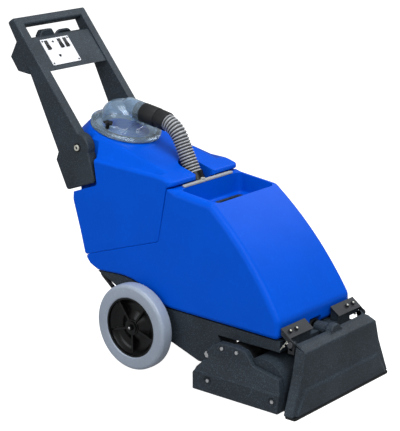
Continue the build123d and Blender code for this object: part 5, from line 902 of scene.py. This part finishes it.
lip_rings = np.stack([
    np.column_stack([set_in(lip_outline, inset), np.full(len(lip_outline), float(height))])
    for inset, height in lip_section
])
lip_faces = grid_faces(len(lip_rings), len(lip_outline), wrap_rows=True)
lip = put_mesh("lip_loop", lip_rings, lip_faces, black_rubber)
fit(lip, "shoe", "black_rubber", "shoe_lip_front", "shoe_lip_rear")
dress(black_coat, "shoe_bracket_left", "shoe_bracket_right", edge=0.8)
dress(black_coat, "bracket_bolts", edge=0.6)
stud_shape = ((0, -1), (3.4, -1), (3.4, 0.4), (2.6, 1.4), (0, 1.9))
bolt_spot, bolt_out, bolt_ys = (477.8, 214.6), np.array([22, 0, 30]), (118, 146)
stud_face_y, stud_spots = 166.5, ((471, 174.5), (482, 184.5))
wire_line = np.array([(461, 162), (472, 177), (483, 192)], float)
wire_y, wire_r, wire_sides = -168.5, 1.0, 10
for side, way in both_sides:
    spots = [((bolt_spot[0], way * y, bolt_spot[1]), bolt_out) for y in bolt_ys]
    spots += [((x, way * stud_face_y, z), (0, way, 0)) for x, z in stud_spots]
    for number, (face, axis) in enumerate(spots):
        stud_name = f"bracket_stud_{side}_{number + 1}"
        stud = put_mesh(stud_name, *lathe(stud_shape, face, axis, bolt_sides), bright_zinc)
        fit(stud, "chassis", "steel")
wire = put_mesh("keeper_wire_right", *pipe(wire_line, wire_y, wire_r, wire_r / 3, wire_sides), bright_zinc)
fit(wire, "chassis", "steel")
dress(satin_can, "slide_pin_left", "slide_pin_right", edge=0.6)

# Studio: a pale floor that runs out of sight, broad soft lights, and the camera at the photograph's angle.
# The floor and the sky look white to the camera, and light the machine much less than they show.
frame_long_side, focal_length = 431, 1540
sensor_size = 36.0
camera_spot = Vector((2.714, -3.232, 1.617))
camera_azimuth, camera_elevation = radians(39.51), radians(15.97)
floor_half = 20.0
floor_mesh = bpy.data.meshes.new("studio_floor")
floor_corners = np.array([(-1, -1, 0), (1, -1, 0), (1, 1, 0), (-1, 1, 0)]) * floor_half
floor_mesh.from_pydata(floor_corners.tolist(), [], [(0, 1, 2, 3)])
floor = bpy.data.objects.new("studio_floor", floor_mesh)
bpy.context.scene.collection.objects.link(floor)
floor_pale = moulded("floor_pale", 0.2, (150, 150, 150), (156, 156, 156), 4, 0.3, 0.02, 0.8, 0.1, 0.0)
floor_shader = floor_pale.node_tree.nodes["Principled BSDF"]
floor_shader.inputs["Emission Color"].default_value = (1, 1, 1, 1)
seen_glow, floor_glow, sky_glow = 1.0, 0.1, 0.38


def glow(tree, strength, unseen):
    """Ties a glow's strength to the ray: seen_glow for the camera's own rays and unseen for every other."""
    ray = add_node(tree, "LightPath")
    strength_range = add_node(tree, "MapRange", {"To Min": unseen, "To Max": seen_glow})
    tree.links.new(ray.outputs["Is Camera Ray"], strength_range.inputs["Value"])
    tree.links.new(strength_range.outputs["Result"], strength)


glow(floor_pale.node_tree, floor_shader.inputs["Emission Strength"], floor_glow)
floor_mesh.materials.append(floor_pale)
world = bpy.data.worlds.new("studio")
world.use_nodes = True
sky = world.node_tree.nodes["Background"]
sky.inputs["Color"].default_value = (1, 1, 1, 1)
glow(world.node_tree, sky.inputs["Strength"], sky_glow)
bpy.context.scene.world = world
bpy.context.scene.view_settings.view_transform = "Standard"
soft_lights = (
    ("top_light", (0.6, -0.4, 3.2), 2.2, 60),
    ("key_light", (2.4, -1.3, 2.9), 2.2, 100),
    ("side_light", (-0.8, -3.6, 1.8), 2.2, 52),
    ("back_light", (0.5, 3.2, 2.8), 2.0, 48),
)
light_tint, light_aim = (0.93, 0.97, 1.0), Vector((0, 0, 0.4))
for light_name, light_spot, light_size, light_power in soft_lights:
    light_data = bpy.data.lights.new(light_name, "AREA")
    light_data.size = light_size
    light_data.energy = light_power
    light_data.color = light_tint
    light = bpy.data.objects.new(light_name, light_data)
    light.location = light_spot
    light.rotation_mode = "QUATERNION"
    light.rotation_quaternion = (light_aim - Vector(light_spot)).to_track_quat("-Z", "Y")
    bpy.context.scene.collection.objects.link(light)
camera_data = bpy.data.cameras.new("photo_camera")
camera_data.sensor_width = sensor_size
camera_data.lens = sensor_size * focal_length / frame_long_side
camera = bpy.data.objects.new("photo_camera", camera_data)
camera_back = Vector((
    sin(camera_azimuth) * cos(camera_elevation),
    -cos(camera_azimuth) * cos(camera_elevation),
    sin(camera_elevation),
))
camera.location = camera_spot
camera.rotation_mode = "QUATERNION"
camera.rotation_quaternion = (-camera_back).to_track_quat("-Z", "Y")
bpy.context.scene.collection.objects.link(camera)
bpy.context.scene.camera = camera
